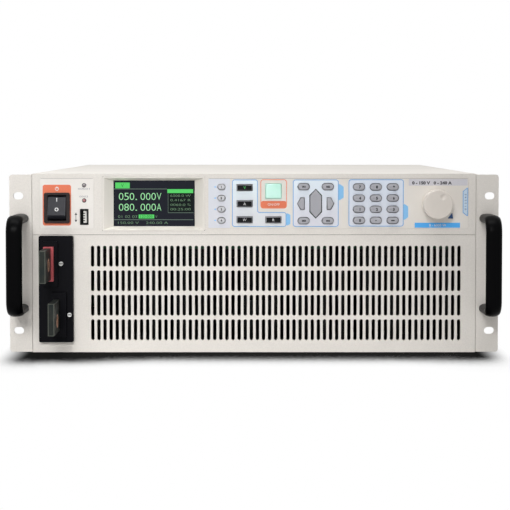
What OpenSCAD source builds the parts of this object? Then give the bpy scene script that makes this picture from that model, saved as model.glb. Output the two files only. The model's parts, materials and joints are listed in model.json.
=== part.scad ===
// Rack-mounted DC electronic load, four rack units high.
// +X is the viewer's right, -Y the front, +Z up; the origin is the middle of the tray's underside.

/* [Rack front] */
// Overall width across the rack ears
rack_w = 482.6; // [479:0.1:486]
// Height of the front, four rack units
rack_h = 177; // [174:0.5:181]
// Distance of a rack slot's middle from the ear's outer edge
rack_slot_in = 8.75; // [8:0.05:10]
// Distance of a rack slot's middle from the panel's top or bottom
rack_slot_end = 21.825; // [19:0.005:24]
// Width of a rack slot
rack_slot_w = 7; // [6:0.1:8]
// Length of a rack slot
rack_slot_l = 10; // [9:0.1:12]
// Width of an ear beside the case
ear_w = 22.1; // [20:0.1:25]
// Thickness of the ear plate
ear_t = 3; // [2:0.1:4]
// How far the ears stop short of the panel's top and bottom
ear_inset = 0.8; // [0.4:0.1:2]
// Length of the ear's flange along the case side
ear_flange_l = 45; // [30:1:70]
// Radius of the ear's outer corners
ear_corner_r = 3; // [1:0.5:6]

/* [Case] */
// Depth of the case behind the front panels
body_d = 520; // [460:5:640]
// Sheet thickness of tray and cover
sheet_t = 1.5; // [1:0.1:2]
// Thickness of the front panels
panel_t = 3; // [2.5:0.1:4]
// Thickness of the rear panel
rear_t = 2; // [1.5:0.1:3]
// Height of the control panel above the grille
ctrl_h = 60.2; // [58.6:0.2:61.6]
// Gap at the seams between front pieces
seam = 0.4; // [0.2:0.1:0.6]
// Width of the folded lips of the tray
lip_w = 7; // [5:0.5:8]
// Depth of the cover's side lips
cover_lip = 13; // [10:0.5:18]
// Outer bend radius of the tray
bend_r = 2.5; // [2.2:0.1:4]
// Clearance of pieces that slip into each other
fit = 0.15; // [0.1:0.05:0.25]

/* [Handles] */
// Distance between a handle's legs
handle_span = 89; // [80:1:98]
// Reach of a handle in front of the ear
handle_reach = 48; // [38:1:52]
// Width of the handle's section
handle_w = 15.6; // [13:0.2:18]
// Thickness of the handle's section
handle_t = 9.4; // [8:0.2:11]
// Bend radius of the handle's middle line
handle_bend = 12; // [10:0.5:15]

/* [Grille] */
// Width of a grille slot
vent_w = 3.4; // [2.4:0.1:3.8]
// Slots in a row
vent_cols = 61; // [45:1:66]
// Rows of slots
vent_rows = 4; // [3:1:5]
// Bare strip between two rows
vent_gap = 3.5; // [3:0.1:7]
// Bare margin under the lowest row
vent_margin_z = 12.2; // [10:0.1:14]
// Bare margin above the highest row
vent_margin_top = 10.8; // [8:0.1:14]
// Bare margin between the last slot and the panel's right edge
vent_margin_x = 15; // [12:0.1:24]
// Bare margin between the terminal block and the first slot
vent_margin_block = 16.9; // [12:0.1:22]

/* [Input terminals] */
// Width of the terminal block
block_w = 33.9; // [32:0.1:36]
// Distance of the block from the case's left side
block_inset = 7.2; // [6.8:0.1:9]
// Height of the block's lower edge
block_z0 = 10.9; // [8:0.1:14]
// Gap between the block's upper edge and the panel seam
block_gap = 0.9; // [0.5:0.1:3]
// Thickness of the block in front of the panel
block_t = 5; // [3:0.5:8]
// Thickness of the raised seats on the block
boss_t = 4; // [2:0.5:6]
// Thickness of an input bar
bar_t = 6; // [5:0.2:7]
// Height of an input bar
bar_h = 31; // [26:0.5:34]
// Reach of the bars in front of the panel
bar_reach = 50; // [46:1:58]
// Vertical distance between the two bars
bar_dz = 50.4; // [47:0.2:53]
// Sideways step between the two bars
bar_dx = 8.2; // [7:0.1:9]
// Thickness of the red collar
collar_t = 3.5; // [2:0.5:6]
// Diameter of the cable lug's bolt hole in a bar
lug_d = 9; // [6:0.5:11]

/* [Display] */
// Middle of the display from the panel's middle
display_x = -99; // [-102:0.5:-97]
// Visible width of the display
display_w = 80.5; // [76:0.5:84]
// Visible height of the display
display_h = 45.4; // [42:0.2:46]
// Width of the bevels at the display's sides
bevel_side = 9; // [7:0.2:10]
// Width of the bevels above and below the display
bevel_end = 2.7; // [2:0.1:3]
// Depth of the display behind the panel's face
bevel_depth = 8; // [6:0.5:9]

/* [Keys] */
// Travel of a key
key_travel = 1; // [0.6:0.1:1.4]
// Height of the keys above the panel
key_rise = 2.3; // [1.6:0.1:3]
// Clearance of a key in its hole
key_fit = 0.25; // [0.2:0.05:0.35]
// Chamfer round the top of a key
key_edge = 0.6; // [0.3:0.1:1]
// Spacing of the rows of soft keys and number keys
row_dz = 11; // [10.6:0.1:11.4]
// Spacing of the mode keys
mode_dz = 15.9; // [14.5:0.1:16.5]
// Spacing of the number keys across
pad_dx = 16.65; // [15.5:0.05:17.5]
// Middle of the number pad
pad_x = 120.2; // [119:0.1:122]
// Middle of the arrow keys
nav_x = 60.9; // [60:0.1:62]
// Length of the oval keys
oval_w = 11.8; // [10:0.1:12.4]
// Height of the oval keys
oval_h = 6.8; // [6:0.1:7.4]

/* [Switch and knob] */
// Width of the mains switch frame
switch_w = 25.5; // [24:0.1:27]
// Height of the mains switch frame
switch_h = 30; // [28:0.1:31]
// Radius of the rocker round its pivot
rocker_r = 12.3; // [11:0.1:12.8]
// Tilt of the rocker to either side
rocker_tilt = 12; // [8:0.5:14]
// Diameter of the knob
knob_d = 29; // [24:0.5:32]
// Height of the knob
knob_h = 17; // [14:0.5:22]
// Diameter of the encoder's shaft
shaft_d = 6; // [5:0.5:6.5]

/* [Fans and cooling] */
// Size of a fan's square frame
fan_size = 120; // [110:1:122]
// Thickness of a fan
fan_t = 38; // [34:1:42]
// Spacing of the fans
fan_dx = 124; // [123:0.5:126]
// Diameter of a fan's hub
hub_d = 44; // [38:1:50]
// Number of blades on a rotor
blade_count = 7; // [5:1:9]
// Height of the middle of the fans
fan_z = 88; // [80:1:96]
// Width of a heat sink
sink_w = 112; // [100:1:116]
// Height of the heat sinks' upper face
sink_top = 100; // [92:1:104]
// Thickness of a heat sink's base
sink_base = 8; // [6:0.5:10]
// Spacing of the fins
fin_dx = 8; // [7:0.5:10]
// Thickness of a fin
fin_t = 2; // [1.5:0.1:3]

/* [Hidden] */
$fn = 64;
over = 1;

// Reference planes and middle heights
front_y = -body_d / 2 - panel_t;
rear_in = body_d / 2 - rear_t;
body_w = rack_w - 2 * ear_w;
side_x = body_w / 2;
case_top = rack_h - sheet_t;
split_z = rack_h - ctrl_h;
ctrl_z = (split_z + rack_h) / 2;
key_lift = 0.6;
key_z = ctrl_z + key_lift;
ear_x = (side_x + rack_w / 2) / 2;
rack_hole_dx = rack_w - 2 * rack_slot_in;
rack_hole_dz = rack_h - 2 * rack_slot_end;

// Places across the front, measured at this width of the case
design_w = 438.4;
film_left_at = -211;
film_left_end = -158;
film_right_at = -45;
film_right_end = 211.4;
switch_at = -194.2;
port_at = -167.5;
soft_at = -32.1;
mode_at = -9.2;
load_at = 19.2;
nav_side = 11.9;
arrow_side = 14.6;
knob_at = 180;
post_2_at = -42;
post_3_at = 88.6;
post_4_at = 155.5;
board_at = -177.2;
board_end = 205.2;
inlet_at = -193.2;

// A place or width across the front at the case's own width
function across(x) = x * body_w / design_w;

// Films on the control panel
film_t = 0.5;
film_foot = 6.2;
film_head = 4.3;
film_bottom = split_z + film_foot;
film_top = rack_h - film_head;
film_corner = 1.5;
film_left_x0 = across(film_left_at);
film_left_x1 = across(film_left_end);
film_right_x0 = across(film_right_at);
film_right_x1 = across(film_right_end);

// Display
screen_x = across(display_x);
screen_w = across(display_w);
bevel_w = across(bevel_side);
bezel_rim = 1.2;
bezel_rise = 0.3;
bezel_corner = 1;
module_edge = 2.5;

// Circuit board behind the keys
board_gap = 12;
board_t = 1.6;
board_y = panel_t + board_gap;
board_x0 = across(board_at);
board_x1 = across(board_end);
board_half_z = 25.2;
post_gap = 6.5;
post_x = [screen_x - screen_w / 2 - bevel_w - post_gap, across(post_2_at), across(post_3_at),
    across(post_4_at)];
post_dz = 22.3;
post_r = 2.4;

// Mains switch
switch_x = across(switch_at);
switch_drop = 3.5;
switch_z = ctrl_z - switch_drop;
switch_flange = 2.5;
switch_corner = 2;
switch_rim_w = 1.95;
switch_rim_h = 1.1;
switch_body_w = switch_w - 2 * switch_rim_w;
switch_body_h = switch_h - 2 * switch_rim_h;
switch_depth = 24;
switch_wall = 1.6;
blade_dx = 5;
blade_w = 0.8;
blade_h = 6.3;
blade_l = 8;
pin_fit = 0.06;
rocker_gap = 0.4;
rocker_w = switch_body_w - 2 * (switch_wall + rocker_gap);
rocker_face = rocker_r * 0.678;
rocker_back = 5;
rocker_y = 4.1;
rocker_pin_r = 1.5;

// Status lamps and USB socket
port_x = across(port_at);
led_up_1 = 18.8;
led_up_2 = 3.8;
led_z = [ctrl_z + led_up_1, ctrl_z + led_up_2];
led_r = 1.5;
usb_drop = 12.5;
usb_z = ctrl_z - usb_drop;
usb_w = 8.2;
usb_h = 15.6;
usb_wall = 1;
usb_rise = 0.4;
usb_floor = 3;
usb_tongue_y = 2;
usb_tongue_t = 1.9;
usb_tongue_h = 11.2;

// Knob and encoder
knob_x = across(knob_at);
knob_lift = 0.4;
knob_z = ctrl_z + knob_lift;
knob_gap = 0.8;
knob_rim_h = 4;
knob_rim_r = 1;
knob_lean = 0.3;
knob_edge = 0.8;
knob_hollow = 6.5;
knob_wall_gap = 4;
dimple_r = 4.6;
dimple_x = 4.4;
dimple_z = 7.4;
dimple_out = 3;
shaft_fit = 0.05;
shaft_tail = 4;
bushing_wall = 0.6;
bushing_l = 4.5;
bushing_r = shaft_d / 2 + bushing_wall;
encoder_w = 12.5;
encoder_floor = 2;
nut_t = 2;
nut_side = 2.4;

// Keys: lip behind the panel and the board's switches
key_lip = 1;
key_lip_t = 1.2;
key_seat = 0.2;
key_back = panel_t + key_seat + key_lip_t;
tact_gap = 0.5;
tact_w = 6;
tact_r = 1.6;
soft_x = across(soft_at);
soft_w = 7.9;
soft_h = 6;
mode_x = across(mode_at);
load_x = across(load_at);
mode_w = 15.6;
mode_h = 6.5;
load_w = 15.7;
load_h = 14.7;
load_up = 12.4;
pad_mid = across(pad_x);
pad_step = across(pad_dx);
nav_mid = across(nav_x);
nav_dx = across(nav_side);
nav_dz = 16.8;
arrow_w = 7.4;
arrow_h = 12;
arrow_dx = across(arrow_side);
arrow_tip = 3.4;
hex_w = 11.4;
hex_h = 28.4;
hex_tip = 6.5;
hex_fit = 0.6;
hex_pin_r = 1;
hex_pin_l = 2.4;
hex_pivot_in = 1.6;
hex_pivot_y = panel_t + hex_pivot_in;
hex_back = hex_pivot_y + hex_pin_r;
hex_ear_w = 2.2;
hex_ear_h = 5;
hex_ear_t = 2.2;

// Terminal block and bars
block_x = -side_x + block_inset + block_w / 2;
block_z1 = split_z - block_gap;
block_zm = (block_z0 + block_z1) / 2;
block_half = (block_z1 - block_z0) / 2;
block_edge = 3;
block_corner = 1.5;
block_tail = 12;
block_back = panel_t + block_tail;
boss_w = 15;
boss_max = 44;
boss_gap = 4;
boss_corner = 1;
boss_h = min(boss_max, bar_dz - boss_gap, 2 * block_half - bar_dz - boss_corner);
boss_dx = 2;
sense_dx = 3;
sense_r = 1.5;
sense_head_r = 2.1;
sense_head_t = 1.8;
sense_l = block_t - 0.5;
pos_in = 7.3;
pos_x = block_x - pos_in;
neg_x = pos_x + bar_dx;
pos_z = block_zm + bar_dz / 2;
neg_z = block_zm - bar_dz / 2;
collar_wall = 2;
collar_edge = 1.5;
collar_corner = 0.6;
collar_dx = 0.8;
lug_in = 3.5;
lug_y = lug_in - (block_t + boss_t + bar_reach) / 2;
// The lower hole lies below the handles' legs, so that a bolt goes in straight from the side
lug_clear = 0.3;
bar_joint = 0.2;
leg_z0 = rack_h / 2 - handle_span / 2 - handle_t / 2;
neg_lug_z = min(neg_z, leg_z0 - lug_d / 2 - lug_clear);
bus_t = 3;
bus_w = 24;
bus_in = 46;
bus_gap = 16;
bus_lift = 4;
bus_step = 5;
pos_bus_y = panel_t + bus_in;
neg_bus_y = pos_bus_y + bus_w + bus_gap;

// Grille
vent_x0 = block_x + block_w / 2 + vent_margin_block + vent_w / 2;
vent_x1 = side_x - vent_margin_x - vent_w / 2;
vent_dx = (vent_x1 - vent_x0) / (vent_cols - 1);
vent_dz = (split_z - vent_margin_z - vent_margin_top + vent_gap) / vent_rows;
vent_l = vent_dz - vent_gap;
air_x = (vent_x0 + vent_x1) / 2;

// Fans, heat sinks and power boards
fan_side = across(fan_size);
fan_step = across(fan_dx);
fan_x = [for (i = [-1:1]) air_x + i * fan_step];
fan_wall = 2.5;
fan_corner = 5;
fan_hole_in = 7.5;
duct_r = fan_side / 2 - fan_wall;
fan_hole = fan_side / 2 - fan_hole_in;
stator_in = 5;
stator_r = hub_d / 2 - stator_in;
hub_wall = 3;
hub_face = 2.5;
tip_gap = 2;
blade_r = duct_r - tip_gap;
rotor_in = 4;
rotor_out = 6;
rotor_front = rear_in - fan_t + rotor_in;
rotor_back = rear_in - rotor_out;
spider_t = 4;
spider_w = 5;
fan_shaft_r = 2;
blade_bend = 30;
blade_t = 1.6;
blade_arc = 50;
blade_lean = 45;
guard_r = 15;
guard_slot = 5.4;
guard_web = 3;
guard_spoke = 5;
sink_wide = across(sink_w);
sink_gap = 30;
sink_tail = 40;
sink_y0 = front_y + panel_t + sink_gap;
sink_y1 = rear_in - fan_t - sink_tail;
sink_fins = floor((sink_wide - fin_t) / fin_dx) + 1;
sink_rake = 10;
pcb_lift = 4;
pcb_t = 1.6;
pcb_w = 58;
pcb_in = 6;
pcb_tail = 20;
pcb_post_in = 8;
pcb_post_r = 3;
pcb_y0 = sink_y0 + pcb_in;
pcb_y1 = sink_y1 - pcb_tail;
fet_rows = 6;
fet_w = 16;
fet_l = 20;
fet_t = 5;
fet_gap = 4;
lead_in = 3;
lead_l = 5;
lead_t = 0.8;
neg_bus_z = sink_top + pcb_lift + pcb_t + bus_lift;
pos_bus_z = neg_bus_z + bus_step;
bus_post_r = 4;

// Rear sockets and the supply
inlet_x = across(inlet_at);
inlet_z = 60;
inlet_w = 27;
inlet_h = 20;
inlet_flange = 2.5;
inlet_depth = 25;
inlet_wall = 1.4;
inlet_cavity = 17.5;
inlet_rim = 2.25;
inlet_corner = 2;
inlet_cut = 5;
pin_l = 12;
pin_w = 2;
pin_h = 4;
pin_dx = 7;
pin_dz = 2;
supply_x = inlet_x + 1;
supply_w = 38;
supply_l = 150;
supply_tail = 60;
supply_y1 = rear_in - supply_tail;
supply_lift = 8;
supply_foot_in = 5;
supply_foot_r = 3;
core_y = 62;
core_l = 32;
core_h = 30;
can_y = 20;
can_step = 24;
can_h = 36;
can_r = 10;
plate_x = 4;
plate_y = 102;
plate_t = 2;
plate_l = 40;
plate_h = 32;

// Fasteners
screw_r = 2;
screw_head_r = 3.6;
screw_head_t = 2.2;
screw_fit = 0.2;
handle_screw_l = 14;
handle_bore = 15;
ear_screw_l = ear_t + sheet_t + 3;
cover_screw_l = 2 * sheet_t + 2;
fan_screw_l = 14;
ground_screw_l = 10;
ear_screw_z = [rack_h * 0.2, rack_h * 0.5, rack_h * 0.8];
ear_screw_y = front_y + panel_t + ear_flange_l / 2;
cover_screw_in = 45;
cover_screw_y = [for (i = [0:2]) -body_d / 2 + ear_flange_l + cover_screw_in
    + i * (body_d - ear_flange_l - 2 * cover_screw_in) / 2];
cover_screw_z = rack_h - sheet_t - cover_lip / 2;
ground_dz = 48;
ground_z = inlet_z + ground_dz;

// Each key: name, form, middle x, middle z, width, height
PAD = [["7", "8", "9"], ["4", "5", "6"], ["1", "2", "3"], ["0", "point", "clear"]];
KEYS = concat(
    [for (i = [0:3]) [str("soft_key_", i + 1), "pill", soft_x, key_z + (1.5 - i) * row_dz, soft_w, soft_h]],
    [for (i = [0:2]) [str("mode_key_", i + 1), "bar", mode_x, key_z + (1 - i) * mode_dz, mode_w, mode_h]],
    [["mode_key_4", "bar", load_x, key_z - mode_dz, mode_w, mode_h],
     ["load_key", "bar", load_x, key_z + load_up, load_w, load_h],
     ["escape_key", "pill", nav_mid - nav_dx, key_z + nav_dz, oval_w, oval_h],
     ["enter_key", "pill", nav_mid + nav_dx, key_z + nav_dz, oval_w, oval_h],
     ["shift_key", "pill", nav_mid - nav_dx, key_z - nav_dz, oval_w, oval_h],
     ["menu_key", "pill", nav_mid + nav_dx, key_z - nav_dz, oval_w, oval_h],
     ["left_key", "arrow_left", nav_mid - arrow_dx, key_z, arrow_w, arrow_h],
     ["right_key", "arrow_right", nav_mid + arrow_dx, key_z, arrow_w, arrow_h],
     ["up_down_key", "hex", nav_mid, key_z, hex_w, hex_h]],
    [for (r = [0:3], c = [0:2]) [str("number_key_", PAD[r][c]), "pill",
        pad_mid + (c - 1) * pad_step, key_z + (1.5 - r) * row_dz, oval_w, oval_h]]);

ROTORS = ["fan_rotor_left", "fan_rotor_middle", "fan_rotor_right"];

// Colours as the photograph shows them
IVORY = [0.86, 0.84, 0.81];
FILM = [0.9, 0.9, 0.91];
BLACK = [0.08, 0.08, 0.09];
GREY = [0.6, 0.6, 0.62];
STEEL = [0.72, 0.72, 0.74];
RED = [0.65, 0.2, 0.2];
BOARD = [0.1, 0.35, 0.2];

// Helpers: panel coordinates, plates in the XZ plane, rounded outlines

// Places children with y = 0 on the front face of the panels
module front() {
    translate([0, front_y, 0]) children();
}

// Extrudes an outline drawn in x and z from y0 back to y1
module slab(y0, y1) {
    translate([0, y1, 0]) rotate([90, 0, 0]) linear_extrude(y1 - y0) children();
}

// A round bar along y from y0 to y1
module rod_y(r, y0, y1) {
    translate([0, y1, 0]) rotate([90, 0, 0]) cylinder(h = y1 - y0, r = r);
}

// A round bar along x from x0 to x1
module rod_x(r, x0, x1) {
    translate([x0, 0, 0]) rotate([0, 90, 0]) cylinder(h = x1 - x0, r = r);
}

// Outline with straight sides and half-round ends, long along x
module pill(w, h) {
    square([w - h, h], center = true);
    for (s = [-1, 1]) translate([s * (w - h) / 2, 0]) circle(d = h);
}

// Rectangle with rounded corners about the origin
module round_rect(w, h, r) {
    square([w - 2 * r, h], center = true);
    square([w, h - 2 * r], center = true);
    for (i = [-1, 1], j = [-1, 1]) translate([i * (w / 2 - r), j * (h / 2 - r)]) circle(r);
}

// U section of a folded sheet, open at the top
module fold_u(w, h, r) {
    translate([-w / 2, r]) square([w, h - r]);
    translate([r - w / 2, 0]) square([w - 2 * r, r]);
    for (s = [-1, 1]) translate([s * (w / 2 - r), r]) circle(r);
}

// Frustum-shaped hole: w0 x h0 at y0 narrowing to w1 x h1 at y1
module taper(w0, h0, w1, h1, y0, y1) {
    intersection() {
        linear_extrude(h0 + over, center = true)
            polygon([[-w0 / 2, y0], [w0 / 2, y0], [w1 / 2, y1], [-w1 / 2, y1]]);
        rotate([90, 0, 90]) linear_extrude(w0 + over, center = true)
            polygon([[y0, -h0 / 2], [y0, h0 / 2], [y1, h1 / 2], [y1, -h1 / 2]]);
    }
}

// Key outlines

function arrow_points(w, h) =
    [[-w / 2, 0], [arrow_tip - w / 2, h / 2], [w / 2, h / 2], [w / 2, -h / 2], [arrow_tip - w / 2, -h / 2]];
function hex_points(w, h) =
    [[0, h / 2], [w / 2, h / 2 - hex_tip], [w / 2, hex_tip - h / 2],
     [0, -h / 2], [-w / 2, hex_tip - h / 2], [-w / 2, h / 2 - hex_tip]];

// Outline of a key grown by g on every side
module key_outline(k, g) {
    w = k[4] + 2 * g;
    h = k[5] + 2 * g;
    translate([k[2], k[3]]) {
        if (k[1] == "pill") pill(w, h);
        if (k[1] == "bar") square([w, h], center = true);
        if (k[1] == "arrow_left") polygon(arrow_points(w, h));
        if (k[1] == "arrow_right") mirror([1, 0]) polygon(arrow_points(w, h));
        if (k[1] == "hex") polygon(hex_points(w, h));
    }
}

// Clearance of a key's hole
function hole_fit(k) = k[1] == "hex" ? hex_fit : key_fit;

// Half section of a key of half width r, as [reach in front of the panel, half width]
function key_section(r) =
    [[-key_back, r + key_lip], [-panel_t - key_seat, r + key_lip], [-panel_t - key_seat, r],
     [key_rise - key_edge, r], [key_rise, r - key_edge]];

// Key section on both sides of the middle, as a prism along x
module key_prism(r, l) {
    s = key_section(r);
    rotate([90, 0, 90]) linear_extrude(l, center = true)
        polygon(concat([for (p = s) [-p[0], p[1]]], [for (i = [len(s) - 1:-1:0]) [-s[i][0], -s[i][1]]]));
}

// Oval key: the section turned round at both ends and run straight between them
module pill_key(w, h) {
    s = key_section(h / 2);
    for (e = [-1, 1]) translate([e * (w - h) / 2, 0, 0])
        rotate([90, 0, 0]) rotate(e > 0 ? -90 : 90) rotate_extrude(angle = 180)
            polygon(concat([[0, -key_back]], [for (p = s) [p[1], p[0]]], [[0, key_rise]]));
    key_prism(h / 2, w - h);
}

// Rectangular key with a chamfered top
module bar_key(w, h) {
    intersection() {
        key_prism(h / 2, w + 4 * key_lip);
        rotate([0, 90, 0]) key_prism(w / 2, h + 4 * key_lip);
    }
}

// Key cut from an outline, with its lip behind the panel
module arrow_key(k) {
    slab(-key_rise, panel_t + key_seat) key_outline(k, 0);
    slab(panel_t + key_seat, key_back) key_outline(k, key_lip);
}

// Two-way key that rocks on its pins
module hex_key(k) {
    slab(-key_rise, hex_back) key_outline(k, 0);
    translate([k[2], hex_pivot_y, k[3]])
        rod_x(hex_pin_r, -k[4] / 2 - hex_pin_l, k[4] / 2 + hex_pin_l);
}

module key(k) {
    color(k[0] == "load_key" ? [0.7, 0.95, 0.85] : GREY) front() {
        if (k[1] == "pill") translate([k[2], 0, k[3]]) pill_key(k[4], k[5]);
        if (k[1] == "bar") translate([k[2], 0, k[3]]) bar_key(k[4], k[5]);
        if (k[1] == "arrow_left" || k[1] == "arrow_right") arrow_key(k);
        if (k[1] == "hex") hex_key(k);
    }
}

// Holes that the films and the control panel share
module control_holes() {
    for (k = KEYS) key_outline(k, hole_fit(k));
    translate([switch_x, switch_z])
        square([switch_body_w + 2 * fit, switch_body_h + 2 * fit], center = true);
    for (z = led_z) translate([port_x, z]) circle(led_r + fit);
    translate([port_x, usb_z]) square([usb_w + 2 * fit, usb_h + 2 * fit], center = true);
    translate([knob_x, knob_z]) circle(bushing_r + fit);
}

// Outline of one film from x0 to x1, grown by g
module film_outline(x0, x1, g) {
    translate([(x0 + x1) / 2, (film_bottom + film_top) / 2])
        round_rect(x1 - x0 + 2 * g, film_top - film_bottom + 2 * g, film_corner);
}

module control_panel() {
    opening_w = screen_w + 2 * (bevel_w + bezel_rim + fit);
    opening_h = display_h + 2 * (bevel_end + bezel_rim + fit);
    color(IVORY) front() {
        difference() {
            slab(0, panel_t) translate([seam - side_x, split_z + seam / 2])
                square([body_w - 2 * seam, rack_h - split_z - seam / 2]);
            slab(-over, film_t) {
                film_outline(film_left_x0, film_left_x1, fit);
                film_outline(film_right_x0, film_right_x1, fit);
            }
            slab(-over, panel_t + over) control_holes();
            slab(-over, panel_t + over) translate([screen_x, key_z])
                square([opening_w, opening_h], center = true);
        }
        // Posts that carry the circuit board
        for (x = post_x, s = [-1, 1]) translate([x, 0, key_z + s * post_dz])
            rod_y(post_r, panel_t - film_t, board_y);
        // Bearings of the two-way key
        for (s = [-1, 1]) translate([nav_mid + s * (hex_w / 2 + hex_fit + hex_ear_w / 2), 0, key_z])
            difference() {
                slab(panel_t - film_t, hex_pivot_y + hex_ear_t) square([hex_ear_w, hex_ear_h], center = true);
                translate([0, hex_pivot_y, 0]) rod_x(hex_pin_r + pin_fit, -hex_ear_w, hex_ear_w);
            }
    }
}

module front_overlays() {
    color(FILM) front() difference() {
        slab(0, film_t) {
            film_outline(film_left_x0, film_left_x1, 0);
            film_outline(film_right_x0, film_right_x1, 0);
        }
        slab(-over, film_t + over) control_holes();
    }
}

module grille_panel() {
    color(IVORY) front() slab(0, panel_t) difference() {
        translate([seam - side_x, seam]) square([body_w - 2 * seam, split_z - 1.5 * seam]);
        for (c = [0:vent_cols - 1], r = [0:vent_rows - 1])
            translate([vent_x0 + c * vent_dx, vent_margin_z + vent_l / 2 + r * vent_dz])
                rotate(90) pill(vent_l, vent_w);
        translate([block_x, block_zm])
            square([block_w - 2 * (block_edge - fit), 2 * (block_half - block_edge + fit)], center = true);
    }
}

// Case

module chassis_tray() {
    color(IVORY) difference() {
        union() {
            slab(-body_d / 2, body_d / 2) difference() {
                fold_u(body_w, case_top, bend_r);
                translate([0, sheet_t]) fold_u(body_w - 2 * sheet_t, rack_h, bend_r - sheet_t);
            }
            // Lips that the front panels sit against
            for (s = [0, 1]) mirror([s, 0, 0])
                translate([side_x - sheet_t - lip_w, -body_d / 2, sheet_t / 2])
                    cube([lip_w + sheet_t / 2, sheet_t, case_top - cover_lip - sheet_t]);
            translate([-side_x + sheet_t, -body_d / 2, sheet_t / 2])
                cube([body_w - 2 * sheet_t, sheet_t, lip_w + sheet_t / 2]);
        }
        for (z = ear_screw_z) translate([0, ear_screw_y, z])
            rod_x(screw_r + screw_fit, -side_x - over, side_x + over);
        for (y = cover_screw_y) translate([0, y, cover_screw_z])
            rod_x(screw_r + screw_fit, -side_x - over, side_x + over);
    }
}

module top_cover() {
    lip_x = side_x - sheet_t - fit;
    color(IVORY) difference() {
        union() {
            translate([-side_x, -body_d / 2, case_top]) cube([body_w, body_d, sheet_t]);
            for (s = [0, 1]) mirror([s, 0, 0])
                translate([lip_x - sheet_t, -body_d / 2 + 3 * sheet_t, rack_h - sheet_t - cover_lip])
                    cube([sheet_t, body_d - rear_t - 6 * sheet_t, cover_lip + sheet_t / 2]);
        }
        for (y = cover_screw_y) translate([0, y, cover_screw_z])
            rod_x(screw_r + screw_fit, -side_x, side_x);
    }
}

// Finger guard of one fan: ring slots left between four spokes
module guard_slots() {
    difference() {
        for (r = [guard_r:guard_slot + guard_web:blade_r - guard_slot]) difference() {
            circle(r + guard_slot);
            circle(r);
        }
        for (a = [45, 135]) rotate(a) square([fan_side * 2, guard_spoke], center = true);
    }
}

module rear_panel() {
    w = body_w - 2 * sheet_t - 2 * fit;
    color(IVORY) slab(rear_in, body_d / 2) difference() {
        intersection() {
            translate([-w / 2, sheet_t]) square([w, case_top - sheet_t]);
            translate([0, sheet_t]) fold_u(w, rack_h, bend_r - sheet_t);
        }
        for (x = fan_x) translate([x, fan_z]) {
            guard_slots();
            for (i = [-1, 1], j = [-1, 1]) translate([i * fan_hole, j * fan_hole])
                circle(screw_r + screw_fit);
        }
        translate([inlet_x, inlet_z]) square([inlet_w + 2 * fit, inlet_h + 2 * fit], center = true);
        translate([inlet_x, ground_z]) circle(screw_r + screw_fit);
    }
}

// Ear on the +X side; the other is its mirror image
module rack_ear() {
    w = rack_w / 2 - side_x;
    h = rack_h - 2 * ear_inset;
    r = ear_corner_r;
    color(IVORY) front() difference() {
        union() {
            slab(0, ear_t) translate([side_x, ear_inset]) {
                square([w - r, h]);
                translate([0, r]) square([w, h - 2 * r]);
                for (z = [r, h - r]) translate([w - r, z]) circle(r);
            }
            translate([side_x, ear_t / 2, ear_inset]) cube([ear_t, panel_t + ear_flange_l - ear_t / 2, h]);
        }
        for (s = [-1, 1]) {
            slab(-over, ear_t + over) translate([rack_hole_dx / 2, rack_h / 2 + s * rack_hole_dz / 2])
                pill(rack_slot_l, rack_slot_w);
            translate([ear_x, 0, rack_h / 2 + s * handle_span / 2])
                rod_y(screw_r + screw_fit, -over, ear_t + over);
        }
        for (z = ear_screw_z) translate([0, ear_screw_y - front_y, z])
            rod_x(screw_r + screw_fit, side_x - over, side_x + ear_t + over);
    }
}

module rack_ear_right() {
    rack_ear();
}

module rack_ear_left() {
    mirror([1, 0, 0]) rack_ear();
}

// Bow handle on the +X ear: straight legs, quarter bends and grip share one flat-oval section
module handle() {
    leg = handle_reach - handle_t / 2 - handle_bend;
    color(BLACK) front() translate([ear_x, 0, rack_h / 2]) difference() {
        union() {
            for (s = [-1, 1]) translate([0, 0, s * handle_span / 2])
                slab(-leg, 0) pill(handle_w, handle_t);
            for (s = [0, 1]) mirror([0, 0, s])
                translate([0, -leg, handle_span / 2 - handle_bend])
                    rotate([0, 90, 0]) rotate(180) rotate_extrude(angle = 90)
                        translate([handle_bend, 0]) rotate(90) pill(handle_w, handle_t);
            translate([0, -leg - handle_bend, 0])
                linear_extrude(handle_span - 2 * handle_bend, center = true) pill(handle_w, handle_t);
        }
        for (s = [-1, 1]) translate([0, 0, s * handle_span / 2])
            rod_y(screw_r + screw_fit, -handle_bore, over);
    }
}

module handle_right() {
    handle();
}

module handle_left() {
    mirror([1, 0, 0]) handle();
}

// Display

module display_bezel() {
    w = screen_w + 2 * bevel_w;
    h = display_h + 2 * bevel_end;
    step = bezel_rise / 10;
    color(IVORY) front() translate([screen_x, 0, key_z]) difference() {
        slab(-bezel_rise, bevel_depth) round_rect(w + 2 * bezel_rim, h + 2 * bezel_rim, bezel_corner);
        taper(w, h, screen_w, display_h, -bezel_rise, bevel_depth);
        slab(-over, step - bezel_rise) square([w, h], center = true);
        slab(bevel_depth - step, bevel_depth + over) square([screen_w, display_h], center = true);
    }
}

module display_module() {
    color([0.1, 0.12, 0.14]) front() translate([screen_x, 0, key_z])
        slab(bevel_depth, board_y)
            round_rect(screen_w + 2 * bevel_w, display_h + 2 * module_edge, bezel_corner);
}

// Mains switch

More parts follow.
